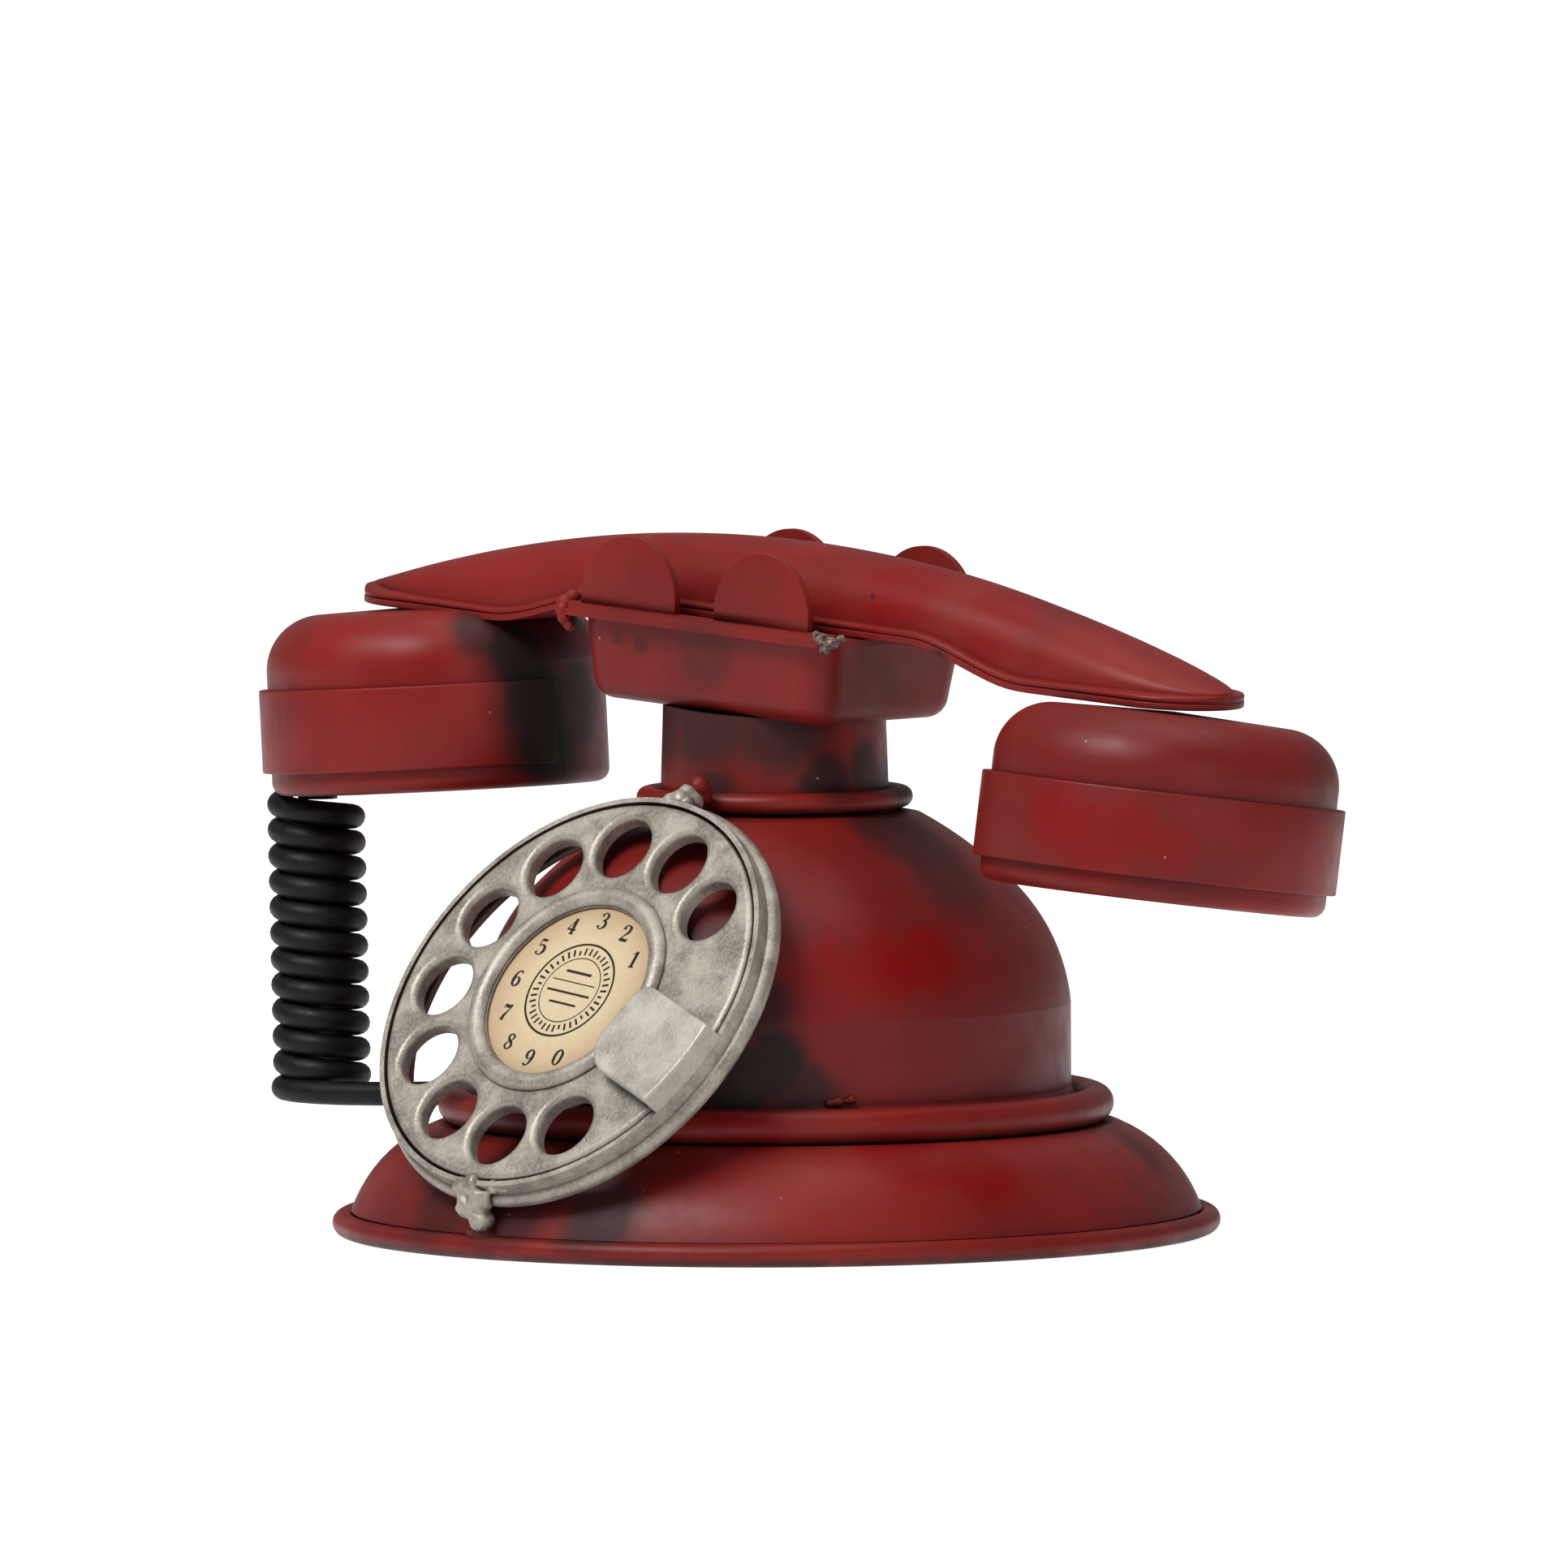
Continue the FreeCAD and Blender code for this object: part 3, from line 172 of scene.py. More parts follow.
def math_of(tree, operation, *values, clamp=False):
    made = add(tree, "Math", {"operation": operation, "use_clamp": clamp},
               **{"_%d" % index: value for index, value in enumerate(values)})
    return made.outputs[0]


def ramp(tree, value, low, high, to_low=0.0, to_high=1.0):
    """Smooth step of a value from low to high."""
    made = add(tree, "MapRange", {"interpolation_type": "SMOOTHSTEP"}, Value=value, From_Min=low,
               From_Max=high, To_Min=to_low, To_Max=to_high)
    return made.outputs["Result"]


def blend_colour(tree, share, first, second):
    made = add(tree, "Mix", {"data_type": "RGBA"})
    for socket, value in ((made.inputs[0], share), (made.inputs[6], first), (made.inputs[7], second)):
        if isinstance(value, bpy.types.NodeSocket):
            tree.links.new(value, socket)
        else:
            socket.default_value = value
    return made.outputs[2]


def place_of(tree):
    return add(tree, "TexCoord").outputs["Object"]


def noise_of(tree, place, scale, detail=3.0, roughness=0.55):
    made = add(tree, "TexNoise", Vector=place, Scale=scale, Detail=detail, Roughness=roughness)
    return made.outputs["Fac"]


def shade_in_corners(tree, reach):
    """Share of painted shade from ambient occlusion, from 0 in the open to 1 where surfaces meet."""
    hidden = add(tree, "AmbientOcclusion", {"samples": 6}, Distance=reach)
    return math_of(tree, "SUBTRACT", 1.0, hidden.outputs["AO"], clamp=True)


def cloud(tree, place, centre, radius, waver):
    """Soft round region about a centre, with an edge that wavers."""
    away = add(tree, "VectorMath", {"operation": "DISTANCE"}, _0=place, _1=centre)
    reach = math_of(tree, "MULTIPLY_ADD", waver, 1.3 * radius, away.outputs["Value"])
    return ramp(tree, reach, 1.75 * radius, 0.75 * radius)


def specks(tree, place, scale, size, share):
    """Scattered small round spots on a share of the cells."""
    cells = add(tree, "TexVoronoi", Vector=place, Scale=scale)
    spot = ramp(tree, cells.outputs["Distance"], size, 0.5 * size)
    chosen = add(tree, "SeparateColor", Color=cells.outputs["Color"])
    picked = math_of(tree, "LESS_THAN", chosen.outputs[0], share)
    return math_of(tree, "MULTIPLY", spot, picked)


# ---------------------------------------------------------------- materials

RED = (0.165, 0.0085, 0.006, 1)
DEEP_RED = (0.115, 0.006, 0.0045, 1)
BRIGHT_RED = (0.15, 0.0012, 0.0012, 1)
# Near-black for dark glaze, smudges and chips, and for painted shade in corners and painted shadow.
SMOKE = (0.035, 0.0075, 0.006, 1)
SOOT_AND_SHADE = (0.009, 0.006, 0.0055, 1)
DUST = (0.42, 0.27, 0.24, 1)
# Red-brown for residue in a casting's corners, and for painted shade there.
RESIDUE_AND_SHADE = (0.035, 0.008, 0.006, 1)
BARE_GRAIN = (0.5, 0.46, 0.4, 1)
CREAM = (0.47, 0.375, 0.235, 1)
YELLOWED = (0.36, 0.25, 0.14, 1)
FIBRE_FLECK = (0.34, 0.24, 0.135, 1)
CARD_SHADOW = (0.04, 0.018, 0.01, 1)
# Dark copper for the painted shade between wire turns.
WIRE_GAP_SHADE = (0.07, 0.018, 0.01, 1)


def enamel(name, smudges_and_shadows=(), bright=(), glaze_and_shade_depth=0.75):
    """Red enamel with an airbrushed dark glaze and painted shade in its corners, with smudges, painted shadow
    and bright spots.

    smudges, some of them painted shadow, are (x, y, z, radius, strength) and bright are (x, y, z, radius), in
    millimetres.
    """
    material, tree = new_material(name)
    place = place_of(tree)
    broad = noise_of(tree, place, 26, 3)
    middling = noise_of(tree, place, 120, 5, 0.62)
    fine = noise_of(tree, place, 1100, 3, 0.6)
    waver = math_of(tree, "SUBTRACT", noise_of(tree, place, 80, 6, 0.6), 0.5)
    colour = blend_colour(tree, ramp(tree, broad, 0.35, 0.65), DEEP_RED, RED)
    for x, y, z, radius in bright:
        region = cloud(tree, place, mm(x, y, z), radius * MM, waver)
        colour = blend_colour(tree, math_of(tree, "MULTIPLY", region, 0.9), colour, BRIGHT_RED)
    haze = math_of(tree, "MULTIPLY", ramp(tree, middling, 0.5, 0.8), 0.22)
    colour = blend_colour(tree, haze, colour, SMOKE)
    # Painted shade where surfaces meet, standing also for the dark glaze that collects there.
    corner_shade = shade_in_corners(tree, 5 * MM)
    corner_glaze_and_shade = math_of(tree, "MULTIPLY", ramp(tree, corner_shade, 0.3, 0.8), ramp(tree, middling, 0.2, 0.55))
    dark_glaze_and_shade = math_of(tree, "MULTIPLY", corner_glaze_and_shade, glaze_and_shade_depth)
    # Smudges darken the colour; some of them, on the bell and the neck, are painted shadow.
    for x, y, z, radius, strength in smudges_and_shadows:
        region = cloud(tree, place, mm(x, y, z), radius * MM, waver)
        dark_glaze_and_shade = math_of(tree, "MAXIMUM", dark_glaze_and_shade, math_of(tree, "MULTIPLY", region, strength))
    chips = specks(tree, place, 95, 0.075, 0.1)
    dark_glaze_and_shade = math_of(tree, "MAXIMUM", dark_glaze_and_shade, math_of(tree, "MULTIPLY", chips, 0.8))
    colour = blend_colour(tree, dark_glaze_and_shade, colour, SOOT_AND_SHADE)
    dust = specks(tree, place, 330, 0.12, 0.035)
    colour = blend_colour(tree, math_of(tree, "MULTIPLY", dust, 0.4), colour, DUST)
    gloss = ramp(tree, middling, 0.3, 0.75, 0.4, 0.52)
    gloss = math_of(tree, "MULTIPLY_ADD", dark_glaze_and_shade, 0.1, gloss)
    height = math_of(tree, "MULTIPLY_ADD", middling, 0.35, math_of(tree, "MULTIPLY", fine, 0.2))
    height = math_of(tree, "MULTIPLY_ADD", chips, -0.8, height)
    bump = add(tree, "Bump", Strength=0.3, Distance=0.22 * MM, Height=height)
    paint = add(tree, "BsdfPrincipled", Base_Color=colour, Roughness=gloss, Normal=bump.outputs[0])
    paint.inputs["Specular IOR Level"].default_value = 0.2
    surface(tree, paint)
    return material


def cast_metal(name, dark=(0.17, 0.15, 0.125, 1), pale=(0.33, 0.3, 0.25, 1), residue_and_shade=0.85):
    """Dull silver paint on a rough casting, with red-brown residue and painted shade in its corners."""
    material, tree = new_material(name)
    place = place_of(tree)
    grain = noise_of(tree, place, 1500, 3, 0.7)
    patches = noise_of(tree, place, 150, 4, 0.6)
    pits = specks(tree, place, 420, 0.16, 0.12)
    colour = blend_colour(tree, ramp(tree, patches, 0.3, 0.7), dark, pale)
    colour = blend_colour(tree, ramp(tree, grain, 0.35, 0.7, 0.0, 0.35), colour, BARE_GRAIN)
    # Red-brown residue where surfaces meet, darkened also as painted shade; the pits are real.
    corner_shade = shade_in_corners(tree, 3 * MM)
    stain_and_shade = math_of(tree, "MULTIPLY", ramp(tree, corner_shade, 0.15, 0.6), residue_and_shade)
    stain_and_shade = math_of(tree, "MAXIMUM", stain_and_shade, math_of(tree, "MULTIPLY", pits, 0.5))
    colour = blend_colour(tree, stain_and_shade, colour, RESIDUE_AND_SHADE)
    height = math_of(tree, "MULTIPLY_ADD", patches, 0.8, grain)
    height = math_of(tree, "MULTIPLY_ADD", pits, -0.7, height)
    bump = add(tree, "Bump", Strength=0.42, Distance=0.2 * MM, Height=height)
    gloss = ramp(tree, patches, 0.3, 0.7, 0.4, 0.56)
    paint = add(tree, "BsdfPrincipled", Base_Color=colour, Roughness=gloss, Normal=bump.outputs[0])
    paint.inputs["Metallic"].default_value = 0.55
    surface(tree, paint)
    return material


def plain(name, light, dark, rough, metallic=0.0, scale=300.0, grain=1200.0, depth=0.05, shine=0.5):
    """Mottled plain material for a small or inner piece."""
    material, tree = new_material(name)
    place = place_of(tree)
    mottle = noise_of(tree, place, scale, 4)
    fine = noise_of(tree, place, grain, 2)
    colour = blend_colour(tree, ramp(tree, mottle, 0.3, 0.7), dark, light)
    bump = add(tree, "Bump", Strength=0.3, Distance=depth * MM, Height=fine)
    gloss = ramp(tree, mottle, 0.3, 0.7, rough - 0.06, rough + 0.08)
    paint = add(tree, "BsdfPrincipled", Base_Color=colour, Roughness=gloss, Normal=bump.outputs[0])
    paint.inputs["Metallic"].default_value = metallic
    paint.inputs["Specular IOR Level"].default_value = shine
    surface(tree, paint)
    return material


def card_paper(name):
    """Cream card that has yellowed towards its edge."""
    material, tree = new_material(name)
    place = place_of(tree)
    fibre = noise_of(tree, place, 700, 4)
    stains = noise_of(tree, place, 110, 4)
    away = add(tree, "VectorMath", {"operation": "DISTANCE"}, _0=place,
               _1=DIAL @ mm(0, 0, -0.5)).outputs["Value"]
    edge = ramp(tree, math_of(tree, "MULTIPLY_ADD", stains, 6 * MM, away), 12 * MM, 22 * MM)
    colour = blend_colour(tree, edge, CREAM, YELLOWED)
    colour = blend_colour(tree, ramp(tree, fibre, 0.4, 0.7, 0.0, 0.18), colour, FIBRE_FLECK)
    hidden = ramp(tree, shade_in_corners(tree, 2 * MM), 0.3, 0.75)
    colour = blend_colour(tree, hidden, colour, CARD_SHADOW)
    bump = add(tree, "Bump", Strength=0.2, Distance=0.03 * MM, Height=fibre)
    paint = add(tree, "BsdfPrincipled", Base_Color=colour, Roughness=0.55, Normal=bump.outputs[0])
    surface(tree, paint)
    return material


def wound_wire(name, wire, pitch):
    """Varnished windings: fine turns of a colour stacked along Z, with painted shade between the turns, pitch
    in millimetres.
    """
    material, tree = new_material(name)
    place = place_of(tree)
    height = add(tree, "SeparateXYZ", Vector=place).outputs[2]
    turns = math_of(tree, "SINE", math_of(tree, "MULTIPLY", height, 2 * math.pi / (pitch * MM)))
    # The dark lines between the turns are painted shade in the grooves.
    colour = blend_colour(tree, ramp(tree, turns, -0.8, 0.8), WIRE_GAP_SHADE, wire)
    bump = add(tree, "Bump", Strength=0.6, Distance=0.15 * MM, Height=turns)
    paint = add(tree, "BsdfPrincipled", Base_Color=colour, Roughness=0.35, Normal=bump.outputs[0])
    surface(tree, paint)
    return material


# ---------------------------------------------------------------- mesh helpers

def piece(name, points, faces, material, body, slot, sharp=35):
    """New mesh object that rides on a body."""
    mesh = bpy.data.meshes.new(name)
    mesh.from_pydata([tuple(point) for point in points], [], faces)
    mesh.materials.append(material)
    obj = bpy.data.objects.new(name, mesh)
    bpy.context.scene.collection.objects.link(obj)
    tidy_normals(mesh, sharp)
    if body:
        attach(obj, body)
    return obj


def tidy_normals(mesh, sharp):
    """Faces turned outwards and shaded smooth, except at edges sharper than an angle in degrees."""
    shape = bmesh.new()
    shape.from_mesh(mesh)
    bmesh.ops.recalc_face_normals(shape, faces=shape.faces)
    shape.to_mesh(mesh)
    shape.free()
    mesh.shade_smooth()
    mesh.set_sharp_from_angle(angle=math.radians(sharp))


def skin(rings, closed_ends=True):
    """Faces between equal rings of points, each ring closed."""
    count = len(rings[0])
    points = [point for ring in rings for point in ring]
    faces = []
    for index in range(len(rings) - 1):
        for step in range(count):
            following = (step + 1) % count
            faces.append((index * count + step, index * count + following,
                          (index + 1) * count + following, (index + 1) * count + step))
    if closed_ends:
        faces.append(tuple(range(count)))
        faces.append(tuple(range(len(points) - count, len(points))))
    return points, faces


def smooth(value, low, high):
    """Smooth step from 0 to 1 between low and high."""
    share = min(max((value - low) / (high - low), 0), 1)
    return share * share * (3 - 2 * share)


def tube(path, radius, sides=14):
    """Rings round a path, without twist."""
    rings = []
    side = (path[1] - path[0]).orthogonal().normalized()
    for index, point in enumerate(path):
        ahead = (path[min(index + 1, len(path) - 1)] - path[max(index - 1, 0)]).normalized()
        side = (side - ahead * side.dot(ahead)).normalized()
        across = ahead.cross(side)
        wide = radius(index) if callable(radius) else radius
        rings.append([point + (side * math.cos(turn) + across * math.sin(turn)) * wide
                      for turn in (2 * math.pi * step / sides for step in range(sides))])
    return rings


def lump(name, local, balls, material, rough, grain=0.45):
    """Uneven lump of solder or paint on the base, grown from balls in a local frame.

    balls are (x, y, z, radius), and rough and grain are the bumps' height and the mesh's size, all
    in millimetres.
    """
    shape = bmesh.new()
    for x, y, z, radius in balls:
        place = Matrix.Translation(local @ mm(x, y, z))
        bmesh.ops.create_icosphere(shape, subdivisions=3, radius=radius * MM, matrix=place)
    mesh = bpy.data.meshes.new(name)
    shape.to_mesh(mesh)
    shape.free()
    obj = bpy.data.objects.new(name, mesh)
    bpy.context.scene.collection.objects.link(obj)
    remesh = obj.modifiers.new("remesh", "REMESH")
    remesh.mode = "VOXEL"
    remesh.voxel_size = grain * MM
    soften = obj.modifiers.new("soften", "SMOOTH")
    soften.iterations = 4
    ready = obj.evaluated_get(bpy.context.evaluated_depsgraph_get())
    made = bpy.data.meshes.new_from_object(ready)
    obj.modifiers.clear()
    obj.data = made
    for vertex in made.vertices:
        push = noise.noise(vertex.co * 620) * rough + noise.noise(vertex.co * 1900) * rough * 0.4
        vertex.co += vertex.normal * push * MM
    made.materials.clear()
    made.materials.append(material)
    tidy_normals(made, 60)
    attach(obj, "base")
    return obj


# ---------------------------------------------------------------- cord

# Millimetres. The cord leaves the base, bends round into the coil's foot and rises to the cup.
CORD = 4.4
CORD_ROUTE = [(-65.98, -11.63, 22.5), (-78.5, -14.6, 21.9), (-90.5, -17.6, 21.6),
              (-99.5, -19.4, 21.7), (-105.6, -17.6, 21.9), (-107.9, -12.6, 22.2)]
COIL_TURNS = 11
COIL_PITCH = 4.72
COIL_RADIUS = 6.95
COIL_FOOT = (-100.6, -11.6, 22.6)
COIL_LEAN = (-0.7, -0.6)
COIL_START = 168
POINTS_PER_TURN = 14


def cord_points():
    """Route of the whole cord, in millimetres: given points, then the coil's turns."""
    points = [Vector(point) for point in CORD_ROUTE]
    count = COIL_TURNS * POINTS_PER_TURN
    for step in range(2, count):
        share = step / count
        turn = math.radians(COIL_START) - 2 * math.pi * step / POINTS_PER_TURN
        x = COIL_FOOT[0] + COIL_LEAN[0] * share + COIL_RADIUS * math.cos(turn)
        y = COIL_FOOT[1] + COIL_LEAN[1] * share + COIL_RADIUS * math.sin(turn)
        z = COIL_FOOT[2] + COIL_PITCH * max(step / POINTS_PER_TURN, 0.05)
        points.append(Vector((x, y, z)))
    return points


def make_cord(material):
    curve = bpy.data.curves.new("cord_route", "CURVE")
    curve.dimensions = "3D"
    curve.resolution_u = 5
    spline = curve.splines.new("NURBS")
    points = cord_points()
    spline.points.add(len(points) - 1)
    for slot, point in zip(spline.points, points):
        slot.co = (*(point * MM), 1)
    spline.order_u = 3
    spline.use_endpoint_u = True
    route = bpy.data.objects.new("cord_route", curve)
    bpy.context.scene.collection.objects.link(route)
    line = bpy.data.meshes.new_from_object(route)
    path = [vertex.co.copy() for vertex in line.vertices]
    bpy.data.objects.remove(route)
    rings = tube(path, CORD / 2 * MM, 16)
    cord = piece("handset_cord", *skin(rings), material, None, "cord_rubber", 60)
    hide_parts("cord_coil", "cord_run")
    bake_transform(cord)


# ---------------------------------------------------------------- handset

# Millimetres, in the handset's own frame.
HANDLE_HALF = 12.5
HANDLE_ROUND = 10.5
HANDLE_TALL = 14.3
HANDLE_ARC = 310
BELLY_DROP = 5.8
CUP_REACH = 89.2
NOSE_START = 70
SHEET = 1.2
STATIONS = 150
ROUND_STEPS = 26
# Flange edge from below to above: how far in from the side, and share of the flange's thickness.
FLANGE_EDGE = ((0.3, 0), (0.02, 0.25), (0, 0.5), (0.05, 0.72), (0.35, 0.95), (0.8, 1))


def belly(x):
    """Height of the handle's underside, lower at the ends than over the cradle."""
    return -BELLY_DROP * smooth(abs(x), 36, 64)


def crown(x):
    """Height of the handle's top, an arc."""
    return HANDLE_TALL - (HANDLE_ARC - math.sqrt(HANDLE_ARC * HANDLE_ARC - x * x))


def make_handle(material):
    """Half-round pressing with a flange, tapering to a flat round pad at each end."""
    end = CUP_REACH + HANDLE_HALF
    rings = []
    for index in range(STATIONS + 1):
        x = -end * math.cos(math.pi * index / STATIONS) * 0.9995
        past = max(abs(x) - CUP_REACH, 0)
        half = math.sqrt(max(HANDLE_HALF ** 2 - past ** 2, 1.0))
        nose = max(abs(x) - NOSE_START, 0) / (end - NOSE_START)
        wide = min(HANDLE_ROUND * math.sqrt(max(1 - nose ** 2.6, 0.0001)), half - 0.9)
        floor = belly(x) + SHEET + 0.02
        curl = 0.7 * smooth(-x, 90, end) + 0.3 * noise.noise(Vector((x * 0.11, 3.1, 0)))
        lip = floor + SHEET + max(curl * smooth(abs(x), 60, 95), 0)
        tall = max(crown(x) - lip, 0.25)
        edge = [Vector((x, half - inset, floor + share * (lip - floor)))
                for inset, share in FLANGE_EDGE]
        ring = list(edge)
        for step in range(ROUND_STEPS + 1):
            turn = math.pi * step / ROUND_STEPS
            bulge = abs(math.sin(turn)) ** 0.86
            ring.append(Vector((x, wide * math.cos(turn), lip + 0.15 + tall * bulge)))
        ring += [Vector((x, -point.y, point.z)) for point in reversed(edge)]
        rings.append([HANDSET @ (point * MM) for point in ring])
    shell = piece("handle_pressing", *skin(rings), material, "handset", "red_enamel", 50)
    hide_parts("handle_shell")


# ---------------------------------------------------------------- dial

# Strokes of each numeral in a cell 1 wide and 1.4 tall: points as (x, y, width).
NUMERALS = {
    "1": [[(0.18, 1.12, 0.05), (0.42, 1.24, 0.07), (0.52, 1.4, 0.1)], [(0.52, 1.4, 0.2), (0.52, 0.04, 0.2)],
          [(0.25, 0.03, 0.07), (0.8, 0.03, 0.07)]],
    "2": [[(0.2, 1.0, 0.24), (0.22, 1.28, 0.1), (0.5, 1.38, 0.08), (0.78, 1.2, 0.18), (0.76, 0.85, 0.18),
           (0.42, 0.45, 0.08), (0.12, 0.08, 0.06)], [(0.12, 0.08, 0.14), (0.5, 0.12, 0.2), (0.86, 0.06, 0.12),
           (0.9, 0.3, 0.05)]],
    "3": [[(0.18, 1.1, 0.2), (0.28, 1.34, 0.08), (0.56, 1.38, 0.08), (0.76, 1.16, 0.18), (0.66, 0.86, 0.12),
           (0.4, 0.74, 0.06)], [(0.4, 0.74, 0.06), (0.74, 0.66, 0.14), (0.82, 0.34, 0.2), (0.56, 0.04, 0.08),
           (0.26, 0.06, 0.08), (0.15, 0.28, 0.2)]],
    "4": [[(0.64, 1.4, 0.06), (0.36, 0.86, 0.06), (0.08, 0.42, 0.06)], [(0.08, 0.4, 0.1), (0.92, 0.4, 0.1)],
          [(0.62, 1.36, 0.2), (0.62, 0.04, 0.2)], [(0.4, 0.03, 0.06), (0.84, 0.03, 0.06)]],
    "5": [[(0.26, 1.36, 0.12), (0.58, 1.3, 0.16), (0.82, 1.38, 0.05)],
          [(0.24, 1.36, 0.06), (0.22, 0.78, 0.06)],
          [(0.22, 0.76, 0.06), (0.5, 0.9, 0.08), (0.8, 0.7, 0.18), (0.82, 0.34, 0.2), (0.56, 0.04, 0.08),
           (0.26, 0.07, 0.08), (0.14, 0.28, 0.2)]],
    "6": [[(0.8, 1.2, 0.14), (0.6, 1.38, 0.08), (0.3, 1.18, 0.12), (0.18, 0.7, 0.2), (0.22, 0.24, 0.16),
           (0.5, 0.03, 0.08), (0.78, 0.24, 0.16), (0.78, 0.6, 0.16), (0.52, 0.82, 0.06), (0.24, 0.62, 0.06)]],
    "7": [[(0.14, 1.08, 0.05), (0.18, 1.36, 0.12), (0.5, 1.26, 0.2), (0.84, 1.38, 0.08), (0.62, 0.86, 0.1),
           (0.42, 0.42, 0.18), (0.38, 0.04, 0.24)]],
    "8": [[(0.5, 1.38, 0.07), (0.24, 1.2, 0.14), (0.3, 0.92, 0.14), (0.66, 0.64, 0.16), (0.8, 0.32, 0.16),
           (0.5, 0.03, 0.07), (0.18, 0.3, 0.14), (0.32, 0.62, 0.08), (0.66, 0.88, 0.08), (0.76, 1.16, 0.14),
           (0.5, 1.38, 0.07)]],
    "9": [[(0.2, 0.2, 0.14), (0.42, 0.03, 0.08), (0.7, 0.24, 0.12), (0.82, 0.7, 0.2), (0.78, 1.16, 0.16),
           (0.5, 1.38, 0.08), (0.22, 1.16, 0.16), (0.22, 0.82, 0.16), (0.48, 0.6, 0.06), (0.76, 0.78, 0.06)]],
    "0": [[(0.5, 1.38, 0.07), (0.2, 1.06, 0.17), (0.2, 0.34, 0.17), (0.5, 0.03, 0.07), (0.8, 0.34, 0.17),
           (0.8, 1.06, 0.17), (0.5, 1.38, 0.07)]],
}
FIRST_NUMERAL = 28.9
NUMERAL_STEP = 28.8
NUMERAL_RING = (13.6, 14.5)
NUMERAL_SIZE = 2.35
NUMERAL_WEIGHT = 1.5
NUMERAL_LEAN = 6
PRINT_CENTRE = (0.05, 0.25)
PRINT_LEAN = 8
CARD_TOP = -0.48
LAYER = 0.0004
# Print in the middle of the card: rings (radius, width), ticks, and rules (half length, up, width).
PRINT_RINGS = ((9.5, 0.42), (6.6, 0.2))
TICKS = 40
TICK_FOOT = 7.3
TICK_REACH = (8.2, 8.7, 8.7, 8.7)
TICK_WIDTH = 0.42
RULES = ((5.4, 1.6, 0.2), (5.4, -0.6, 0.42), (3.2, 3.6, 0.5), (3.4, -2.8, 0.4))


def ease(stroke, pieces=6):
    """Catmull-Rom line through a stroke's points and widths."""
    if len(stroke) == 2:
        return [Vector(point) for point in stroke]
    points = [Vector(stroke[0])] + [Vector(point) for point in stroke] + [Vector(stroke[-1])]
    line = []
    for a, b, c, d in zip(points, points[1:], points[2:], points[3:]):
        for step in range(pieces):
            t = step / pieces
            line.append(0.5 * ((2 * b) + (c - a) * t + (2 * a - 5 * b + 4 * c - d) * t * t
                               + (3 * b - a - 3 * c + d) * t * t * t))
    line.append(points[-2])
    return line


def ribbon(points, faces, line, place, height):
    """Flat strip along a line of (x, y, width)."""
    start = len(points)
    for index, spot in enumerate(line):
        ahead = line[min(index + 1, len(line) - 1)] - line[max(index - 1, 0)]
        across = Vector((-ahead.y, ahead.x, 0)).normalized() * spot.z / 2
        centre = Vector((spot.x, spot.y, 0))
        for edge in (centre + across, centre - across):
            flat = place @ edge
            points.append(DIAL @ mm(flat.x, flat.y, height))
    for index in range(len(line) - 1):
        first = start + 2 * index
        faces.append((first, first + 1, first + 3, first + 2))


def on_circle(radius, turn, width):
    return Vector((radius * math.cos(turn), radius * math.sin(turn), width))


def numeral_lines():
    """Each numeral's strokes, eased, with the place of its cell on the card."""
    for index, strokes in enumerate(NUMERALS.values()):
        turn = math.radians(FIRST_NUMERAL + NUMERAL_STEP * index)
        centre = Vector((PRINT_CENTRE[0] + NUMERAL_RING[0] * math.cos(turn),
                         PRINT_CENTRE[1] + NUMERAL_RING[1] * math.sin(turn), 0))
        lean = Matrix.Rotation(-math.radians(NUMERAL_LEAN), 4, "Z")
        cell = Matrix.Translation(Vector((-0.5, -0.7, 0)))
        place = Matrix.Translation(centre) @ lean @ Matrix.Scale(NUMERAL_SIZE, 4) @ cell
        for stroke in strokes:
            yield ease([(x, y, NUMERAL_WEIGHT * width) for x, y, width in stroke]), place


def middle_lines():
    """Plain rings, ticks and rules in the card's middle."""
    centre = Matrix.Translation(Vector((*PRINT_CENTRE, 0)))
    place = centre @ Matrix.Rotation(-math.radians(PRINT_LEAN), 4, "Z")
    for radius, width in PRINT_RINGS:
        yield [on_circle(radius, 2 * math.pi * step / 72, width) for step in range(73)], place
    for step in range(TICKS):
        turn = 2 * math.pi * step / TICKS
        reach = TICK_REACH[step % len(TICK_REACH)]
        yield [on_circle(radius, turn, TICK_WIDTH) for radius in (TICK_FOOT, reach)], place
    for half, up, width in RULES:
        yield [Vector((-half, up, width)), Vector((half, up, width))], place


def make_card_print(material):
    """Numerals round the card and the print in its middle, each line a hair above the one before."""
    points = []
    faces = []
    for layer, (line, place) in enumerate([*numeral_lines(), *middle_lines()], 1):
        ribbon(points, faces, line, place, CARD_TOP + LAYER * layer)
    piece("card_print", points, faces, material, "dial_rotor", "card")


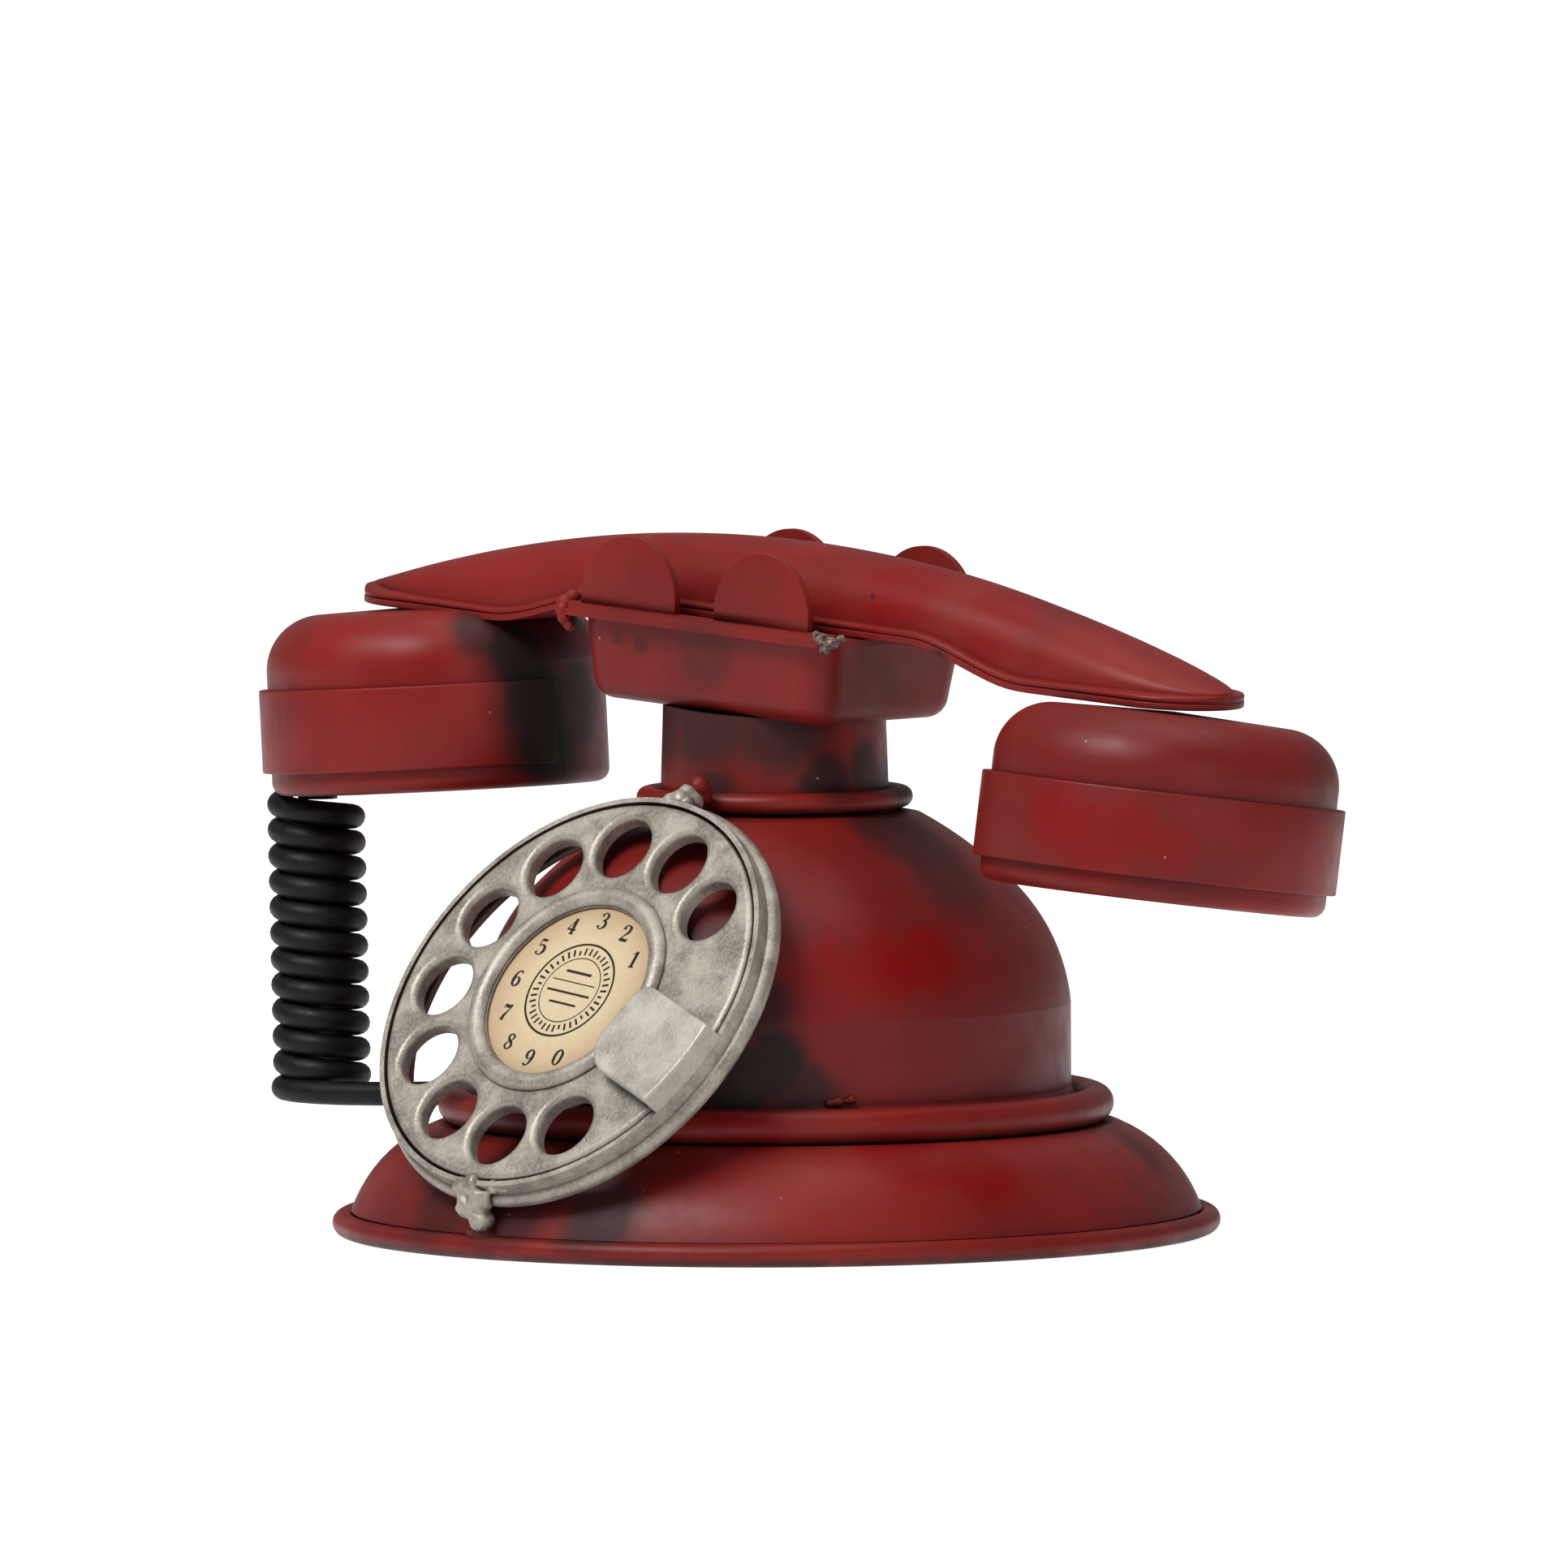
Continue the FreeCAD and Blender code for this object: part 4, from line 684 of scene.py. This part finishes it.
# Balls that the lumps grow from, (x, y, z, radius) in millimetres.
UPPER_LUG = [(2.6, 40.8, -1.8, 1.6), (4.6, 41.2, -1.9, 1.9), (6.6, 40.4, -1.8, 1.5),
             (4.4, 43.2, -3.0, 1.8), (5.0, 42.4, -4.4, 2.2)]
UPPER_TIP = [(5.2, 45.6, -4.2, 2.0), (4.8, 45.0, -6.0, 2.2), (1.0, 42.4, -5.0, 1.6)]
LOWER_LUG = [(-3.0, -40.0, -1.4, 2.0), (-5.8, -40.2, -1.8, 1.9), (-1.8, -41.6, -3.4, 2.4),
             (-4.8, -42.6, -4.2, 2.5), (1.6, -39.8, -1.6, 1.4), (4.0, -39.8, -2.2, 1.2),
             (-2.4, -44.4, -6.2, 2.3), (-7.4, -40.4, -2.8, 1.3)]
LOWER_TIP = [(-3.8, -46.0, -7.4, 1.9), (-2.6, -46.2, -8.6, 2.2), (-1.4, -46.0, -9.6, 1.6)]
TRAY_SOLDER = [(30.4, -22.6, 16.4, 1.3), (32.0, -21.6, 15.8, 1.2), (31.0, -22.2, 14.6, 1.0),
               (32.8, -20.0, 16.6, 0.9), (29.0, -22.4, 17.0, 0.9)]
TRAY_LIP = [(-32.2, -22.2, 15.6, 1.5), (-33.2, -20.6, 16.6, 1.6), (-33.4, -18.4, 17.4, 1.5),
            (-33.2, -16.0, 17.8, 1.3), (-31.8, -22.4, 14.0, 1.2), (-31.0, -21.6, 12.6, 1.0)]
BELL_DRIP = [(43.4, -31.8, 27.4, 1.1), (44.6, -30.0, 27.6, 0.9), (42.4, -33.4, 27.2, 0.8)]


def make_lugs(solder, paint):
    """Solder and paint that hold the dial to the collar above it and to the skirt below it."""
    upper = lump("upper_lug", DIAL, UPPER_LUG, solder, 0.2)
    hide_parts("dial_lugs")
    lump("upper_lug_tip", DIAL, UPPER_TIP, paint, 0.12)
    lump("lower_lug", DIAL, LOWER_LUG, solder, 0.35)
    lump("lower_lug_tip", DIAL, LOWER_TIP, paint, 0.15)


def make_drips(solder, tray_paint, bell_paint):
    """Small lumps at the tray's corners and at the foot of the bell."""
    lump("tray_solder", LEANED, TRAY_SOLDER, solder, 0.15, 0.35)
    lump("tray_lip", LEANED, TRAY_LIP, tray_paint, 0.1, 0.35)
    lump("bell_drip", Matrix.Identity(4), BELL_DRIP, bell_paint, 0.15, 0.3)


# ---------------------------------------------------------------- CAD parts' finishes

ROUNDED_FROM = 38
SHARP_FROM = 34
EDGE_WIDTHS = {
    "cord_gland": 0.5,
    "ears_front": 0.35,
    "ears_back": 0.35,
    "left_band": 0.35,
    "right_band": 0.35,
    "handle_plate": 0.35,
    "cradle_rails": 0.35,
}


def round_edges(node, width):
    """Rounds the edges that are sharper than ROUNDED_FROM degrees, after joining split vertices."""
    join = NODES[node].modifiers.new("join", "WELD")
    join.merge_threshold = 0.002 * MM
    bevel = NODES[node].modifiers.new("edges", "BEVEL")
    bevel.width = width * MM
    bevel.segments = 3
    bevel.limit_method = "ANGLE"
    bevel.angle_limit = math.radians(ROUNDED_FROM)
    bevel.harden_normals = True


def finish_node(node, material):
    """Gives a CAD part its material and smooth shading."""
    mesh = NODES[node].data
    mesh.materials.clear()
    mesh.materials.append(material)
    mesh.shade_smooth()
    mesh.set_sharp_from_angle(angle=math.radians(SHARP_FROM))


# ---------------------------------------------------------------- camera and cord come first

make_camera()
CORD_RUBBER = plain("cord_rubber", (0.004, 0.004, 0.0043, 1), (0.002, 0.002, 0.0022, 1), 0.5, 0, 500, 2600,
                    0.05, 0.2)
make_cord(CORD_RUBBER)
make_studio()
make_floor()

# ---------------------------------------------------------------- finishes

# Smudges (x, y, z, radius, strength) and bright spots (x, y, z, radius), in millimetres. On the bell and the
# neck, some smudges are painted shadow.
# Dark patches on the bell's front, beside and below the dial, are partly painted shadow of the dial.
BELL_SMUDGES_AND_DIAL_SHADOW = [
    (36, 1, 75, 9, 0.7), (41, 2, 68, 8, 0.5), (30, -2, 78, 7, 0.75), (29, -44, 32, 7, 0.95),
    (35, -40, 34, 5.5, 0.95), (39, -36, 29, 5, 0.8), (31, -43, 44, 6, 0.8), (24, -46, 50, 9, 0.6),
    (18, -50, 36, 10, 0.9), (0, -52, 34, 14, 0.8), (0, 48, 40, 16, 0.5), (-44, 12, 58, 14, 0.5),
]
BELL_BRIGHT = [(41, -32, 49, 6), (46, -24, 50, 6), (49, -14, 52, 5), (-20, 44, 48, 9)]
# Smudges at the neck's top front, under the tray, are painted shadow of the tray; the others are smudges.
NECK_SMUDGES_AND_TRAY_SHADOW = [
    (2, -20, 93, 8, 0.8), (14, -16, 93, 8, 0.8), (-12, -16, 93, 8, 0.8), (19, -7, 82, 4.5, 0.85),
    (20, 2, 84, 4, 0.8), (3, -20, 80, 4.5, 0.75), (18, 9, 80, 5, 0.8), (-14, -16, 94, 5, 0.5),
]
BASE_SMUDGES = [
    (21, -70, 9, 7, 0.85), (11, -68, 13, 7, 0.85), (3, -72, 9, 8, 0.8), (-13, -71, 7, 7, 0.6),
    (-30, 62, 8, 12, 0.5), (62, 30, 17, 5, 0.4),
]
BASE_BRIGHT = [(58, -30, 18, 6), (65, -20, 15, 6), (36, -48, 24, 5)]
TRAY_SMUDGES = [(2, -20, 105, 5, 0.3), (-14, -21, 106, 1.5, 0.5), (-20, -21, 107, 1.2, 0.5),
                (31, -8, 98, 8, 0.4)]
HANDLE_SMUDGES = [(50, -11, 105, 2.2, 0.85), (43, -11.5, 106.5, 1.4, 0.8), (-40, 0, 100, 9, 0.4)]
HANDLE_BRIGHT = [(60, -8, 113, 6), (38, -8, 118, 7)]
CUP_SMUDGES = [
    (-51, -7, 95, 7.5, 0.98), (-50, -5, 87, 7.5, 0.98), (-52, -9, 103, 6.5, 0.97),
    (-47, -3, 106, 7, 0.95), (-48, 4, 93, 8, 0.8), (-57, -14, 108, 5, 0.8), (120, 10, 84, 6, 0.3),
]
CUP_BRIGHT = [(98, -33, 80, 5.5), (102, -31, 76, 5), (108, -28.5, 78, 4.5), (-66, -28, 101, 7),
              (115, -24, 75, 3.5)]

BELL = enamel("bell_enamel", BELL_SMUDGES_AND_DIAL_SHADOW, BELL_BRIGHT)
NECK = enamel("neck_enamel", NECK_SMUDGES_AND_TRAY_SHADOW, glaze_and_shade_depth=0.85)
BASE = enamel("base_enamel", BASE_SMUDGES, BASE_BRIGHT)
TRAY = enamel("tray_enamel", TRAY_SMUDGES, glaze_and_shade_depth=0.9)
HANDLE = enamel("handle_enamel", HANDLE_SMUDGES, HANDLE_BRIGHT, glaze_and_shade_depth=0.85)
CUP = enamel("cup_enamel", CUP_SMUDGES, CUP_BRIGHT, glaze_and_shade_depth=0.8)
CAST = cast_metal("dial_cast")
STOP = cast_metal("stop_cast", (0.28, 0.26, 0.225, 1), (0.41, 0.38, 0.33, 1), 0.6)
SOLDER = cast_metal("solder_lump", residue_and_shade=0.9)
DARK_SOLDER = cast_metal("dark_solder", (0.03, 0.008, 0.007, 1), (0.09, 0.02, 0.017, 1), 0.5)
CARD = card_paper("card_paper")
INK = plain("card_ink", (0.02, 0.014, 0.01, 1), (0.008, 0.006, 0.005, 1), 0.7, shine=0.2)
STEEL = plain("steel", (0.55, 0.55, 0.54, 1), (0.34, 0.34, 0.33, 1), 0.32, 1.0)
ZINC = plain("zinc", (0.6, 0.6, 0.56, 1), (0.4, 0.41, 0.4, 1), 0.42, 0.9, 120)
BRASS = plain("brass", (0.66, 0.45, 0.16, 1), (0.4, 0.25, 0.08, 1), 0.34, 1.0)
CONTACT = plain("contact_strip", (0.72, 0.56, 0.3, 1), (0.5, 0.37, 0.18, 1), 0.3, 1.0)
FIBRE = plain("fibre", (0.08, 0.042, 0.026, 1), (0.04, 0.02, 0.012, 1), 0.55)
FELT = plain("felt", (0.028, 0.026, 0.025, 1), (0.012, 0.011, 0.011, 1), 0.9, 0, 900, 3200, 0.3)
CAN = plain("capsule_can", (0.58, 0.58, 0.57, 1), (0.42, 0.42, 0.41, 1), 0.4, 0.9)
WINDING = wound_wire("winding", (0.3, 0.09, 0.03, 1), 0.35)
GLAND = plain("gland_grey", (0.22, 0.17, 0.165, 1), (0.1, 0.07, 0.07, 1), 0.5)

FINISHES = {
    BELL: ("bell_housing",),
    NECK: ("neck_tube", "collar_bead"),
    BASE: ("base_rim", "base_skirt", "base_bead"),
    TRAY: ("cradle_tray", "cradle_rails", "ears_front", "ears_back"),
    HANDLE: ("handle_plate", "handle_shell"),
    CUP: ("left_cup", "right_cup", "left_band", "right_band", "left_cap", "right_cap"),
    CAST: ("dial_ring", "finger_wheel", "card_bezel"),
    STOP: ("finger_stop",),
    SOLDER: ("dial_lugs",),
    CARD: ("number_card",),
    STEEL: ("base_screws", "cradle_plunger", "plunger_spring", "return_spring", "clapper", "gong_screws",
            "terminal_screws", "dial_shaft"),
    ZINC: ("base_plate", "switch_bracket", "dial_case", "dial_back_plate", "gong_posts", "ringer_yoke"),
    BRASS: ("plunger_guide", "dial_gear", "governor", "gong_left", "gong_right"),
    CONTACT: ("hook_switch_leaves", "pulse_leaves"),
    FIBRE: ("hook_switch_stack", "pulse_block", "terminal_block", "induction_coil_frame"),
    FELT: ("base_pad",),
    CAN: ("capacitor", "left_capsule", "right_capsule"),
    WINDING: ("ringer_coils", "induction_coil_winding"),
    GLAND: ("cord_gland",),
    CORD_RUBBER: ("cord_coil", "cord_run", "cord_relief", "line_grommet"),
}
for finish, members in FINISHES.items():
    for member in members:
        finish_node(member, finish)

for member, edge_width in EDGE_WIDTHS.items():
    round_edges(member, edge_width)

# ---------------------------------------------------------------- finished pieces

make_handle(HANDLE)
make_card_print(INK)
make_lugs(SOLDER, BASE)
make_drips(DARK_SOLDER, TRAY, BELL)
